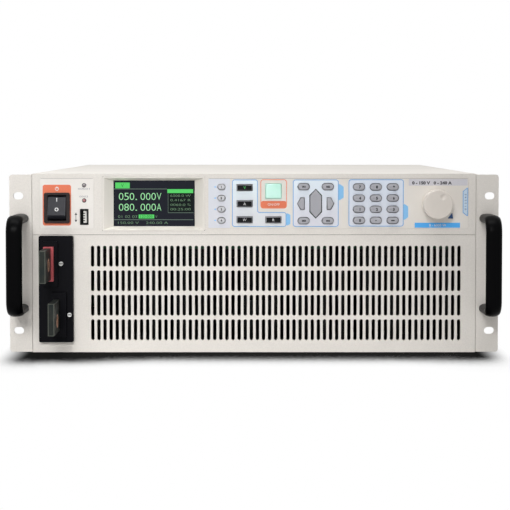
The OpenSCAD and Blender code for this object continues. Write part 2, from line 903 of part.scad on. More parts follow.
module switch_frame() {
    color(BLACK) front() translate([switch_x, 0, switch_z]) difference() {
        union() {
            slab(-switch_flange, 0) round_rect(switch_w, switch_h, switch_corner);
            slab(-fit, switch_depth) square([switch_body_w, switch_body_h], center = true);
            for (s = [-1, 1]) slab(switch_depth - over, switch_depth + blade_l)
                translate([s * blade_dx, 0]) square([blade_w, blade_h], center = true);
        }
        translate([0, rocker_y, 0])
            rod_x(rocker_r + rocker_gap, -rocker_w / 2 - rocker_gap, rocker_w / 2 + rocker_gap);
        slab(-switch_flange - over, rocker_y)
            square([rocker_w + 2 * rocker_gap, 2 * (rocker_r + rocker_gap)], center = true);
        translate([0, rocker_y, 0]) rod_x(rocker_pin_r + pin_fit, -switch_body_w / 2, switch_body_w / 2);
    }
}

// Rocker pressed in at the top: a round block with a flat face, turning on its pins
module power_rocker() {
    color([0.35, 0.35, 0.38]) front() translate([switch_x, rocker_y, switch_z]) {
        rotate([-rocker_tilt, 0, 0]) rotate([90, 0, 90]) linear_extrude(rocker_w, center = true)
            intersection() {
                circle(rocker_r);
                translate([-rocker_face, -rocker_r]) square([rocker_face + rocker_back, 2 * rocker_r]);
            }
        rod_x(rocker_pin_r, -switch_body_w / 2, switch_body_w / 2);
    }
}

module usb_socket() {
    w = usb_w - 2 * usb_wall;
    h = usb_h - 2 * usb_wall;
    color(BLACK) front() translate([port_x, 0, usb_z]) {
        difference() {
            slab(-usb_rise, board_y) square([usb_w, usb_h], center = true);
            slab(-over, board_y - usb_floor) square([w, h], center = true);
        }
        slab(usb_tongue_y, board_y - usb_floor / 2) translate([w / 2 - usb_tongue_t, 0])
            square([usb_tongue_t, usb_tongue_h], center = true);
    }
}

module status_leds() {
    color([0.85, 0.85, 0.8]) front() for (z = led_z) translate([port_x, 0, z]) {
        rod_y(led_r, 0, board_y);
        intersection() {
            sphere(led_r);
            translate([-led_r, -led_r, -led_r]) cube([2 * led_r, led_r, 2 * led_r]);
        }
    }
}

module key_board() {
    color(BOARD) front() {
        slab(board_y, board_y + board_t)
            translate([board_x0, key_z - board_half_z]) square([board_x1 - board_x0, 2 * board_half_z]);
        for (k = KEYS, s = (k[1] == "hex" ? [-1, 1] : [0])) translate([k[2], 0, k[3] + s * hex_h / 3]) {
            slab(board_y - tact_w, board_y + board_t / 2) square(tact_w, center = true);
            rod_y(tact_r, (k[1] == "hex" ? hex_back : key_back) + key_travel + tact_gap,
                board_y - tact_w / 2);
        }
    }
}

// Knob

module encoder() {
    color(STEEL) front() translate([knob_x, 0, knob_z]) difference() {
        union() {
            slab(panel_t, board_y) square(encoder_w, center = true);
            rod_y(bushing_r, -bushing_l, panel_t + over);
            rotate([90, 0, 0]) cylinder(h = nut_t, r = bushing_r + nut_side, $fn = 6);
        }
        rod_y(shaft_d / 2 + shaft_fit, -bushing_l - over, board_y - encoder_floor);
    }
}

module knob() {
    r = knob_d / 2;
    color([0.85, 0.82, 0.78]) front() translate([knob_x, 0, knob_z]) {
        difference() {
            rotate([90, 0, 0]) rotate_extrude() {
                polygon([[0, knob_gap], [r, knob_gap], [r, knob_h - knob_rim_h],
                    [r - knob_lean, knob_h - knob_edge], [r - knob_rim_r, knob_h], [0, knob_h]]);
            }
            // Hollow behind, over the bushing and its nut
            rod_y(bushing_r + knob_wall_gap, -knob_hollow, 0);
            // Finger dimple
            translate([dimple_x, -knob_h - dimple_out, dimple_z]) sphere(dimple_r);
        }
        rod_y(shaft_d / 2, -knob_h / 2, board_y - shaft_tail);
    }
}

// Input terminals

module terminal_block() {
    color(BLACK) front() difference() {
        union() {
            slab(-block_t, 0) translate([block_x, block_zm])
                round_rect(block_w, 2 * block_half, block_corner);
            slab(-fit, block_back) translate([block_x, block_zm])
                square([block_w - 2 * block_edge, 2 * (block_half - block_edge)], center = true);
            for (p = [[pos_x, pos_z], [neg_x, neg_z]])
                slab(-block_t - boss_t, -block_t + fit) translate([p[0] + boss_dx, p[1]])
                    round_rect(boss_w, boss_h, boss_corner);
        }
        for (p = [[pos_x, pos_z], [neg_x, neg_z]])
            slab(-block_t - boss_t - over, block_back + over) translate(p)
                square([bar_t + 2 * fit, bar_h + 2 * fit], center = true);
        for (p = [[pos_x, pos_z], [neg_x, neg_z]])
            translate([p[0] + boss_dx + boss_w / 2 + sense_dx, -block_t, p[1]])
                rod_y(sense_r + screw_fit, -over, sense_l + screw_fit);
    }
}

module positive_collar() {
    y1 = -block_t - boss_t;
    color(RED) front() slab(y1 - collar_t, y1) difference() {
        translate([pos_x + collar_dx, pos_z])
            round_rect(bar_t + 2 * collar_wall, bar_h + 2 * collar_edge, collar_corner);
        translate([pos_x, pos_z]) square([bar_t + 2 * fit, bar_h + 2 * fit], center = true);
    }
}

// Input bar with its lug hole, butted by a soldered joint against the riser of a cross bar
// that runs over the power boards
module input_bar(x, z, lug_z, bus_y, bus_z) {
    color(STEEL) front() {
        difference() {
            slab(-bar_reach, bus_y - bar_joint) translate([x, z]) square([bar_t, bar_h], center = true);
            translate([0, lug_y, lug_z]) rod_x(lug_d / 2, x - bar_t, x + bar_t);
        }
        union() {
            translate([x - bar_t / 2, bus_y, z - bar_h / 2])
                cube([bar_t, bus_w, bus_z + bus_t - z + bar_h / 2]);
            translate([x - bar_t / 2, bus_y, bus_z])
                cube([fan_x[2] + bus_post_r * 2 - x + bar_t / 2, bus_w, bus_t]);
        }
    }
}

module positive_bar() {
    input_bar(pos_x, pos_z, pos_z, pos_bus_y, pos_bus_z);
}

module negative_bar() {
    input_bar(neg_x, neg_z, neg_lug_z, neg_bus_y, neg_bus_z);
}

// Inner works

module heat_sinks() {
    color([0.25, 0.25, 0.27]) for (x = fan_x) slab(sink_y0, sink_y1) translate([x - sink_wide / 2, 0]) {
        translate([0, sink_top - sink_base]) square([sink_wide, sink_base]);
        for (i = [0:sink_fins - 1]) {
            foot = i == 0 || i == sink_fins - 1 ? sheet_t : sink_rake;
            translate([i * fin_dx, foot]) square([fin_t, sink_top - foot - sink_base / 2]);
        }
    }
}

// Board on four posts, transistors clamped to the heat sink on both sides, and posts under the bars
module power_boards() {
    pitch = (pcb_y1 - pcb_y0 - fet_w) / (fet_rows - 1);
    z = sink_top + pcb_lift;
    bus_y = [front_y + pos_bus_y + bus_w / 2, front_y + neg_bus_y + bus_w / 2];
    color(BOARD) for (x = fan_x) translate([x, 0, 0]) {
        translate([-pcb_w / 2, pcb_y0, z]) cube([pcb_w, pcb_y1 - pcb_y0, pcb_t]);
        for (i = [-1, 1], y = [pcb_y0 + pcb_post_in, pcb_y1 - pcb_post_in])
            translate([i * (pcb_w / 2 - pcb_post_in), y, sink_top])
                cylinder(h = pcb_lift + pcb_t / 2, r = pcb_post_r);
        for (i = [0, 1], k = [0:fet_rows - 1]) mirror([i, 0, 0])
            translate([pcb_w / 2, pcb_y0 + k * pitch, sink_top]) {
                translate([fet_gap, 0, 0]) cube([fet_l, fet_w, fet_t]);
                translate([-over, lead_in, pcb_lift]) cube([lead_l + over, fet_w - 2 * lead_in, lead_t]);
            }
        translate([0, bus_y[0], z]) cylinder(h = pos_bus_z - z, r = bus_post_r);
        translate([0, bus_y[1], z]) cylinder(h = neg_bus_z - z, r = bus_post_r);
    }
}

// Open-frame supply: board on feet, transformer, two capacitors and a cooling plate
module supply_unit() {
    z = sheet_t + supply_lift;
    color(BOARD) translate([supply_x - supply_w / 2, supply_y1 - supply_l, 0]) {
        translate([0, 0, z]) cube([supply_w, supply_l, pcb_t]);
        for (x = [supply_foot_in, supply_w - supply_foot_in], y = [supply_foot_in, supply_l - supply_foot_in])
            translate([x, y, sheet_t]) cylinder(h = supply_lift + pcb_t / 2, r = supply_foot_r);
        translate([supply_foot_in, core_y, z]) cube([supply_w - 2 * supply_foot_in, core_l, core_h]);
        for (i = [0, 1]) translate([supply_w / 2, can_y + i * can_step, z]) cylinder(h = can_h, r = can_r);
        translate([plate_x, plate_y, z]) cube([plate_t, plate_l, plate_h]);
    }
}

module fan_frames() {
    color(BLACK) for (x = fan_x) translate([x, 0, fan_z]) difference() {
        union() {
            slab(rear_in - fan_t, rear_in) difference() {
                round_rect(fan_side, fan_side, fan_corner);
                circle(duct_r);
            }
            rod_y(hub_d / 2, rear_in - spider_t, rear_in);
            rod_y(stator_r, rear_in - fan_t * 0.7, rear_in - spider_t / 2);
            for (a = [0:90:270]) rotate([0, a, 0])
                translate([hub_d / 2 - over, rear_in - spider_t, -spider_w / 2])
                    cube([duct_r - hub_d / 2 + 2 * over, spider_t, spider_w]);
        }
        rod_y(fan_shaft_r + shaft_fit, rear_in - fan_t, rear_in - spider_t / 2);
        for (i = [-1, 1], j = [-1, 1]) translate([i * fan_hole, 0, j * fan_hole])
            rod_y(screw_r + screw_fit, rear_in - fan_t - over, rear_in + over);
    }
}

// Cambered blade: an arc strip run outwards from the hub
module blade() {
    r = blade_bend;
    ends = [for (a = [-1, 0, 1]) blade_lean + a * blade_arc / 2];
    linear_extrude(blade_r + over) translate([-r * cos(blade_lean), -r * sin(blade_lean)]) intersection() {
        difference() {
            circle(r + blade_t / 2);
            circle(r - blade_t / 2);
        }
        polygon([[0, 0], for (a = ends) 2 * r * [cos(a), sin(a)]]);
    }
}

// Rotor: cup-shaped hub on a shaft, blades trimmed to a ring
module fan_rotor(x) {
    mid = (rotor_front + rotor_back) / 2;
    color(BLACK) translate([x, 0, fan_z]) {
        difference() {
            rod_y(hub_d / 2, rotor_front, rotor_back);
            rod_y(hub_d / 2 - hub_wall, rotor_front + hub_face, rotor_back + over);
        }
        rod_y(fan_shaft_r, rotor_front + over, rotor_back);
        intersection() {
            difference() {
                rod_y(blade_r, rotor_front, rotor_back);
                rod_y(hub_d / 2 - over, rotor_front - over, rotor_back + over);
            }
            for (i = [0:blade_count - 1]) rotate([0, i * 360 / blade_count, 0])
                translate([0, mid, 0]) rotate([0, 90, 0]) rotate(90) blade();
        }
    }
}

module mains_inlet() {
    w = inlet_w - 2 * inlet_wall;
    h = inlet_h - 2 * inlet_wall;
    y1 = body_d / 2;
    color(BLACK) translate([inlet_x, 0, inlet_z]) {
        difference() {
            union() {
                slab(y1, y1 + inlet_flange)
                    round_rect(inlet_w + 2 * inlet_rim, inlet_h + 2 * inlet_rim, inlet_corner);
                slab(y1 - inlet_depth, y1 + inlet_flange / 2) square([inlet_w, inlet_h], center = true);
            }
            slab(y1 + inlet_flange - inlet_cavity, y1 + inlet_flange + over)
                polygon([[-w / 2, -h / 2], [w / 2, -h / 2], [w / 2, h / 2 - inlet_cut],
                    [w / 2 - inlet_cut, h / 2], [inlet_cut - w / 2, h / 2], [-w / 2, h / 2 - inlet_cut]]);
        }
        for (p = [[-pin_dx, -pin_dz], [0, pin_dz], [pin_dx, -pin_dz]])
            slab(y1 + inlet_flange - inlet_cavity - over, y1 + inlet_flange - inlet_cavity + pin_l)
                translate(p) square([pin_w, pin_h], center = true);
    }
}

// A pan-head screw along +y, its head in front of y = 0
module screw_y(l) {
    rod_y(screw_head_r, -screw_head_t, 0);
    rod_y(screw_r, -over, l);
}

// A screw along -x into the +X side, its head outside x = 0
module screw_x(l) {
    rod_x(screw_head_r, 0, screw_head_t);
    rod_x(screw_r, -l, over);
}

module fasteners() {
    color(STEEL) {
        front() for (m = [0, 1], s = [-1, 1]) mirror([m, 0, 0])
            translate([ear_x, ear_t, rack_h / 2 + s * handle_span / 2])
                mirror([0, 1, 0]) screw_y(handle_screw_l);
        for (m = [0, 1]) mirror([m, 0, 0]) {
            for (z = ear_screw_z) translate([side_x + ear_t, ear_screw_y, z]) screw_x(ear_screw_l);
            for (y = cover_screw_y) translate([side_x, y, cover_screw_z]) screw_x(cover_screw_l);
        }
        for (x = fan_x, i = [-1, 1], j = [-1, 1])
            translate([x + i * fan_hole, body_d / 2, fan_z + j * fan_hole])
                mirror([0, 1, 0]) screw_y(fan_screw_l);
        translate([inlet_x, body_d / 2, ground_z]) mirror([0, 1, 0]) screw_y(ground_screw_l);
        front() for (p = [[pos_x, pos_z], [neg_x, neg_z]]) {
            translate([p[0] + boss_dx + boss_w / 2 + sense_dx, -block_t, p[1]]) {
                rod_y(sense_head_r, -sense_head_t, 0);
                rod_y(sense_r, -over, sense_l);
            }
        }
    }
}

chassis_tray();
top_cover();
rear_panel();
rack_ear_left();
rack_ear_right();
handle_left();
handle_right();
control_panel();
grille_panel();
front_overlays();
display_bezel();
display_module();
switch_frame();
power_rocker();
usb_socket();
status_leds();
key_board();
encoder();
knob();
terminal_block();
positive_collar();
positive_bar();
negative_bar();
fasteners();
heat_sinks();
power_boards();
supply_unit();
fan_frames();
mains_inlet();
for (i = [0:2]) fan_rotor(fan_x[i]);
for (k = KEYS) key(k);
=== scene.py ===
# %% [markdown]
# # A rack-mounted electronic load in a pale studio
# The instrument's solids come from a CAD model: case, panels, keys, switch, fans. This script loads them
# as a fixed frame and dresses them: paint, plastics, metals, printed inks, a lit screen, moulded keycaps.
# Everything is in the CAD model's own frame, so nothing has to be fitted by eye. Blender counts in metres;
# new pieces are drawn in millimetres, with depth counted backwards from the panel's front face.

import json
import math

import bmesh
import bpy
import numpy as np
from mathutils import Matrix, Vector


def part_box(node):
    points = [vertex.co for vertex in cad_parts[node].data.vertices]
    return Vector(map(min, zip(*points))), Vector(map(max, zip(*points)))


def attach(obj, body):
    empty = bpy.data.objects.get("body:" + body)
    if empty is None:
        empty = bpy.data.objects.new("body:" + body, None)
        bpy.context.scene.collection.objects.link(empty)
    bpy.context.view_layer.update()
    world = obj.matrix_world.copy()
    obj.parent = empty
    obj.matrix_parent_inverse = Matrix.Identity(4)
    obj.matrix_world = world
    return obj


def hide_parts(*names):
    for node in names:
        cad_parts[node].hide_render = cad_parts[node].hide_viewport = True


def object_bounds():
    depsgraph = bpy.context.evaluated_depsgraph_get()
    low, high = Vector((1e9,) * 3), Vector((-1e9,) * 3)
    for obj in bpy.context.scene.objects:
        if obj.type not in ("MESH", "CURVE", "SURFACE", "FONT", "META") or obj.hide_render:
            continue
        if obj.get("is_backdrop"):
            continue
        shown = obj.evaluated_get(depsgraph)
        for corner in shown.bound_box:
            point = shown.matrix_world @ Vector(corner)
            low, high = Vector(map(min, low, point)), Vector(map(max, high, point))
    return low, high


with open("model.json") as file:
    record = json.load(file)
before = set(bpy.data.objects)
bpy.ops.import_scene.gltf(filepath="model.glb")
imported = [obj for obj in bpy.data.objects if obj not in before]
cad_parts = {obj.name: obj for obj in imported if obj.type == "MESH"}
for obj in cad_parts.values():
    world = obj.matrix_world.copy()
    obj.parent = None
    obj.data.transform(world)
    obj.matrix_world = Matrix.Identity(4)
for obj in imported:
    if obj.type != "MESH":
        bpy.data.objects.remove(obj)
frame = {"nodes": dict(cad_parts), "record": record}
cad_low, cad_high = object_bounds()
nodes = frame["nodes"]
record = frame["record"]
MM = 0.001


def box_mm(name):
    """Lowest and highest corner of a CAD node, in millimetres."""
    return [np.array(corner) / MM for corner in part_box(name)]


FACE = box_mm("grille_panel")[0][1]
print("nodes", len(nodes), "front face at y =", round(FACE, 2), "mm")

# %% [markdown]
# ## Shader maths
# A finish is a sum of patterns: a base colour, a fine grain, a slow drift of tone. Wiring such sums by
# hand takes many lines, so one small class wraps a socket and lets Python's operators add the Math nodes.
# Every other node comes from one method, which sets the node's settings first and then its sockets.

# %% Values and finishes
class Value:
    """A number or colour that varies over a surface: an output socket that takes part in Python sums."""

    def __init__(self, shader, socket):
        self.shader = shader
        self.socket = socket

    def math(self, operation, *terms):
        return self.shader.node("ShaderNodeMath", {"operation": operation}, dict(enumerate(terms)))[0]

    def __add__(self, other):
        return self.math("ADD", self, other)

    def __sub__(self, other):
        return self.math("SUBTRACT", self, other)

    def __rsub__(self, other):
        return self.math("SUBTRACT", other, self)

    def __mul__(self, other):
        return self.math("MULTIPLY", self, other)

    __radd__ = __add__
    __rmul__ = __mul__

    def step(self, low, high):
        """Rises smoothly from 0 at low to 1 at high."""
        kind = {"interpolation_type": "SMOOTHSTEP"}
        return self.shader.node("ShaderNodeMapRange", kind, {0: self, 1: low, 2: high})[0]

    def band(self, low, high, soft):
        """1 between low and high, with soft edges."""
        return self.step(low - soft, low + soft) * (1 - self.step(high - soft, high + soft))


class Shader:
    """A node tree, emptied and filled anew: node() makes every node."""

    def __init__(self, tree):
        self.tree = tree
        tree.nodes.clear()

    def node(self, kind, settings, sockets):
        """Makes a node with those settings and socket values or links; gives its outputs."""
        made = self.tree.nodes.new(kind)
        for key, value in settings.items():
            setattr(made, key, value)
        for key, value in sockets.items():
            if isinstance(value, Value):
                self.tree.links.new(value.socket, made.inputs[key])
            else:
                made.inputs[key].default_value = value
        return [Value(self, out) for out in made.outputs]


class Finish(Shader):
    """One procedural material on Object coordinates; surface() joins the sums to the shader."""

    def __init__(self, name):
        self.material = bpy.data.materials.new(name)
        self.material.use_nodes = True
        super().__init__(self.material.node_tree)
        places = {place.socket.name: place for place in self.node("ShaderNodeTexCoord", {}, {})}
        self.place = places["Object"]

    def axes(self):
        """The surface point's x, y and z in metres."""
        return self.node("ShaderNodeSeparateXYZ", {}, {0: self.place})

    def noise(self, scale, detail=2.0, stretch=(1, 1, 1)):
        """Smooth noise from about 0.3 to 0.7, with features about 1 / scale metres wide."""
        where = self.node("ShaderNodeMapping", {}, {"Vector": self.place, "Scale": stretch})[0]
        return self.node("ShaderNodeTexNoise", {}, {"Vector": where, "Scale": scale, "Detail": detail})[0]

    def tint(self, mask, first, second):
        """The first colour where mask is 0, the second where it is 1."""
        return self.node("ShaderNodeMix", {"data_type": "RGBA"}, {0: mask, 6: first, 7: second})[2]

    def bump(self, height, distance):
        """A normal tilted by the slope of height, which stands for that distance in metres."""
        return self.node("ShaderNodeBump", {}, {"Strength": 1.0, "Distance": distance, "Height": height})[0]

    def surface(self, sockets):
        shader = self.node("ShaderNodeBsdfPrincipled", {}, sockets)[0]
        self.node("ShaderNodeOutputMaterial", {}, {"Surface": shader})
        return self.material


def rgb(red, green, blue):
    """A screen colour from 0 to 255, as the linear values that shaders use."""
    c = np.array([red, green, blue]) / 255
    linear = np.where(c <= 0.04045, c / 12.92, ((c + 0.055) / 1.055) ** 2.4)
    return (*linear.tolist(), 1.0)


def shade(colour, share):
    """The same colour, lighter or darker by a share."""
    return (*[min(1.0, c * share) for c in colour[:3]], 1.0)


print("linear middle grey", round(rgb(128, 128, 128)[0], 3))

# %% [markdown]
# ## Painted and moulded surfaces
# The case is sheet metal under a fine textured powder coat: a matt ivory with a grain of about a
# millimetre and a tone that drifts a little over the sheet. The plastics are smoother and each batch has
# its own shade. A bump node turns the grain into light and shade without any added geometry.

# %% Powder coat, plastics and metal
def powder_coat(name, colour, grain=900, depth=0.00006, roughness=0.5, gloss=0.35, inside=None):
    """Base colour drifting by noise of two sizes, grain as bump, roughness following the grain. Within the
    box inside, given as low and high in metres, the sheet is bare and dark grey; that darkness is painted
    shade for the inside of the case seen through the slots."""
    f = Finish(name)
    fine = f.noise(grain, 3.0)
    drift = f.noise(9, 2.0)
    mask = (fine * 0.55 + drift * 0.45).step(0.36, 0.64)
    tone = f.tint(mask, shade(colour, 0.955), shade(colour, 1.03))
    if inside:
        x, y, z = (axis.band(a, b, 0.0001) for axis, a, b in zip(f.axes(), *inside))
        # Painted shade: inside the case the sheet turns dark grey.
        tone = f.tint(x * y * z, tone, f.tint(mask, rgb(44, 44, 46), rgb(58, 58, 60)))
    return f.surface({"Base Color": tone, "Roughness": fine * 0.16 + (roughness - 0.08),
                      "Normal": f.bump(fine, depth), "Specular IOR Level": gloss})


def moulded(name, colour, roughness=0.4, gloss=0.5):
    """Moulded plastic: spark-eroded grain, slight flow marks in tone and gloss."""
    f = Finish(name)
    fine = f.noise(2600, 2.0)
    flow = f.noise(45, 3.0, (1, 1, 0.3))
    return f.surface({"Base Color": f.tint(flow.step(0.3, 0.7), shade(colour, 0.94), shade(colour, 1.05)),
                      "Roughness": flow * 0.12 + (roughness - 0.06) + fine * 0.04,
                      "Normal": f.bump(fine, 0.000015), "Specular IOR Level": gloss})


ALONG_Y = (1, 0.06, 1)


def bare_metal(name, colour, dull, roughness=0.32):
    """Metal with draw lines along y and dull blotches where the plating has aged."""
    f = Finish(name)
    lines = f.noise(1800, 2.0, ALONG_Y)
    age = f.noise(70, 4.0).step(0.4, 0.68)
    return f.surface({"Base Color": f.tint(age, colour, dull), "Metallic": 1.0 - age * 0.25,
                      "Roughness": lines * 0.2 + age * 0.18 + (roughness - 0.14),
                      "Normal": f.bump(lines, 0.00002)})


SHEET = 0.0012
case_low, case_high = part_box("chassis_tray")
# Inner box of the case, where the sheet gets painted shade.
hollow = ((case_low.x + SHEET, case_low.y + SHEET, case_low.z + SHEET),
          (case_high.x - SHEET, case_high.y - SHEET, cad_high.z - SHEET))
finishes = {
    "case_paint": powder_coat("ivory_powder_coat", rgb(233, 228, 221), inside=hollow),
    "handle_black": powder_coat("satin_black_coat", rgb(2, 2, 3), 1400, 0.00002, 0.34, 0.04),
    "bezel_ivory": moulded("bezel_ivory_plastic", rgb(238, 233, 225), 0.45),
    "switch_black": moulded("switch_black_plastic", rgb(38, 28, 28), 0.25, 0.3),
    "rocker_grey": moulded("rocker_grey_plastic", rgb(36, 37, 43), 0.36, 0.13),
    "socket_black": moulded("socket_black_plastic", rgb(24, 24, 26), 0.42, 0.25),
    "knob_cream": moulded("knob_cream_plastic", rgb(230, 222, 213), 0.42),
    "block_black": moulded("block_black_plastic", rgb(14, 14, 18), 0.38, 0.06),
    "collar_red": moulded("collar_red_plastic", rgb(184, 80, 85), 0.35),
    "fan_black": moulded("fan_black_plastic", rgb(18, 18, 19), 0.45, 0.2),
    "key_grey": moulded("key_grey_silicone", rgb(172, 172, 178), 0.55),
    "key_pale": moulded("key_pale_silicone", rgb(208, 208, 212), 0.5),
    "encoder_metal": bare_metal("encoder_plate", rgb(190, 190, 188), rgb(150, 148, 144)),
    "screw_zinc": bare_metal("zinc_screw", rgb(226, 226, 224), rgb(188, 188, 184), 0.24),
    "sink_black": powder_coat("black_anodised_fin", rgb(16, 16, 17), 1800, 0.00001, 0.5, 0.15),
}
print("finishes so far", len(finishes))

# %% [markdown]
# ## Films, screen glass, circuit board, lit key and lamps
# These need a pattern of their own. The front films are printed with pale tinted fields behind the key
# groups; soft-edged boxes in x and z give those fields. The board shows copper tracks under green mask,
# which a brick pattern imitates. The load key glows a little from behind.

# %% Patterned finishes
FIELDS = {
    "soft": (-45, -23.5, 123.5, 172.2),
    "mode": (-21.2, 3.5, 125, 171),
    "mode_foot": (3.5, 31.6, 125, 138.8),
    "arrow": (38.7, 83.2, 125, 171),
    "number": (93.6, 147.3, 125.3, 171.2),
}
FIELD_TONES = {
    "soft": (rgb(224, 225, 232), rgb(222, 226, 234)),
    "mode": (rgb(230, 232, 236), rgb(236, 249, 255)),
    "mode_foot": (rgb(230, 232, 236), rgb(236, 249, 255)),
    "arrow": (rgb(230, 231, 240), rgb(234, 245, 254)),
    "number": (rgb(225, 229, 239), rgb(226, 235, 248)),
}
SOFT_EDGE = 0.0002


def printed_film():
    """Ivory-white film, greyer towards the right. Each field of tint is the product of a band in x and a
    band in z; its tone runs from a greyer one at its foot to a bluer one at its head."""
    f = Finish("printed_film")
    x, _, z = f.axes()
    rise = z.step(0.13, 0.172)
    drift = f.noise(30, 3.0).step(0.3, 0.7)
    colour = f.tint(x.step(-0.16, -0.05), f.tint(drift, rgb(237, 232, 226), rgb(241, 237, 231)),
                    f.tint(drift, rgb(231, 225, 217), rgb(236, 231, 224)))
    for name, sides in FIELDS.items():
        x0, x1, z0, z1 = (side * MM for side in sides)
        mask = x.band(x0, x1, SOFT_EDGE) * z.band(z0, z1, SOFT_EDGE)
        colour = f.tint(mask, colour, f.tint(rise, *FIELD_TONES[name]))
    grain = f.noise(5200, 2.0)
    return f.surface({"Base Color": colour, "Roughness": grain * 0.14 + 0.4,
                      "Normal": f.bump(grain, 0.000012)})


def screen_glass():
    """Near-black glass with a wiped, slightly uneven gloss."""
    f = Finish("screen_glass")
    smear = f.noise(60, 3.0, (1, 1, 3)).step(0.35, 0.75)
    return f.surface({"Base Color": f.tint(smear, rgb(8, 9, 11), rgb(13, 15, 18)),
                      "Roughness": smear * 0.1 + 0.1, "Specular IOR Level": 0.15})


def circuit_board():
    """Green mask over copper: tracks from a brick pattern, dust from noise."""
    f = Finish("circuit_board")
    sockets = {"Vector": f.place, "Scale": 160.0, "Mortar Size": 0.05}
    track = f.node("ShaderNodeTexBrick", {}, sockets)[1]
    dust = f.noise(120, 3.0).step(0.35, 0.7)
    mask = track * 0.7 + dust * 0.2
    return f.surface({"Base Color": f.tint(mask, rgb(24, 84, 50), rgb(66, 132, 84)),
                      "Roughness": dust * 0.2 + 0.32, "Normal": f.bump(track, 0.00004)})


def lit_key():
    """Mint plastic lit from behind, a little uneven by slow noise."""
    f = Finish("lit_mint_key")
    uneven = f.noise(70, 2.0).step(0.3, 0.7)
    colour = f.tint(uneven, rgb(186, 236, 219), rgb(204, 246, 232))
    return f.surface({"Base Color": colour, "Emission Color": colour, "Emission Strength": 0.12,
                      "Roughness": uneven * 0.1 + 0.34})


def lamp_lens():
    """Small lamp lenses, unlit: the upper one clear grey, the lower one red, cloudy inside."""
    f = Finish("lamp_lens")
    low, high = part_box("status_leds")
    middle = (low.z + high.z) / 2
    cloud = f.noise(900, 2.0).step(0.3, 0.7)
    upper = f.axes()[2].step(middle - MM, middle + MM)
    red = f.tint(cloud, rgb(176, 112, 114), rgb(190, 130, 130))
    grey = f.tint(cloud, rgb(138, 132, 132), rgb(158, 150, 150))
    return f.surface({"Base Color": f.tint(upper, red, grey), "Roughness": cloud * 0.1 + 0.16})


finishes["lamp_lens"] = lamp_lens()
finishes["film_print"] = printed_film()
finishes["screen"] = screen_glass()
finishes["board_green"] = circuit_board()
finishes["key_mint"] = lit_key()
print("fields of tint", len(FIELDS))

# %% [markdown]
# ## Input bars
# The bars are dull tin, with a painted highlight as a lighter line along the edges of their front faces, and
# a ring round each lug hole that is copper brightened as a painted highlight. The record's mounts say where
# the holes are, how wide they are and how thick the bar is.

# %% Bars and the dressing of all CAD nodes
BAR_MIDDLES = {"positive": 0.0886, "negative": 0.0382}
BAR_HALF = 0.016
EDGE_HIGHLIGHT_SIDE = 0.0006
EDGE_HIGHLIGHT_END = 0.001
COPPER_GLINT_RING = 0.0021
mounts = {mount["name"]: mount for mount in record["mounts"]}


def tinned_bar():
    """Dull tin with age blotches; a painted highlight as a lighter line round each bar's front face, and a
    ring of copper brightened as a painted highlight, found by the distance from the lug hole's axis."""
    f = Finish("tinned_bar")
    x, y, z = f.axes()
    age = f.noise(90, 4.0).step(0.35, 0.7)
    lines = f.noise(1800, 2.0, ALONG_Y)
    colour = f.tint(age, rgb(40, 42, 38), rgb(24, 32, 31))
    for end, middle in BAR_MIDDLES.items():
        low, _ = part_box(end + "_bar")
        lug = mounts["input_" + end]
        hole = lug["dims"]["r_mm"] * MM
        back = low.x + lug["dims"]["length_mm"] * MM
        half = BAR_HALF - EDGE_HIGHLIGHT_END
        whole = z.band(middle - BAR_HALF, middle + BAR_HALF, SOFT_EDGE)
        inner = x.band(low.x + EDGE_HIGHLIGHT_SIDE, back - EDGE_HIGHLIGHT_SIDE, SOFT_EDGE)
        inner = inner * z.band(middle - half, middle + half, SOFT_EDGE)
        front = 1 - y.step(low.y + 0.0003, low.y + 0.0007)
        # Painted highlight: a lighter line round each bar's front face.
        colour = f.tint(whole * front * (1 - inner), colour, rgb(84, 88, 80))
        dy, dz = y - lug["pos_m"][1], z - lug["pos_m"][2]
        far = y.math("SQRT", dy * dy + dz * dz)
        ring = far.band(hole, hole + COPPER_GLINT_RING, 0.0004) * (1 - age * 0.5)
        # Copper ring round the lug hole, brightened as a painted highlight.
        colour = f.tint(ring, colour, rgb(222, 170, 142))
    return f.surface({"Base Color": colour, "Metallic": 0.3, "Roughness": lines * 0.2 + age * 0.2 + 0.3,
                      "Normal": f.bump(lines, 0.00002), "Specular IOR Level": 0.2})


finishes["bar_plated"] = tinned_bar()
slots = {row["node"]: row["material_slot"] for row in record["subparts"]}
for name, piece in nodes.items():
    if not piece.data.materials:
        piece.data.materials.append(None)
    for holder in piece.material_slots:
        holder.material = finishes[slots[name]]
print("CAD nodes dressed", len(slots))

# %% [markdown]
# ## Inks and lit picture
# Screen-printed ink is a thin, slightly mottled layer. A display's picture gives light of its own, so it
# uses emission, broken up by the pixels' own grid.

# %% Inks and glows
def ink(name, colour, roughness=0.5):
    """Printed ink: tone mottled by fine noise, gloss by a coarser one."""
    f = Finish(name)
    mottle = f.noise(2400, 2.0).step(0.3, 0.7)
    return f.surface({"Base Color": f.tint(mottle, shade(colour, 0.95), shade(colour, 1.04)),
                      "Roughness": f.noise(300) * 0.2 + (roughness - 0.1)})


PIXEL = 0.00028


def glow(name, colour, strength=0.9):
    """Lit pixels: emission dimmed along the lines of a square grid."""
    f = Finish(name)
    x, _, z = f.axes()
    columns, rows = (axis.math("PINGPONG", axis, PIXEL / 2).step(0.0, PIXEL / 7) for axis in (x, z))
    grid = columns * rows
    return f.surface({"Base Color": f.tint(grid, rgb(6, 8, 8), shade(colour, 0.2)),
                      "Emission Color": f.tint(grid, shade(colour, 0.72), colour),
                      "Emission Strength": strength, "Roughness": 0.2, "Specular IOR Level": 0.08})


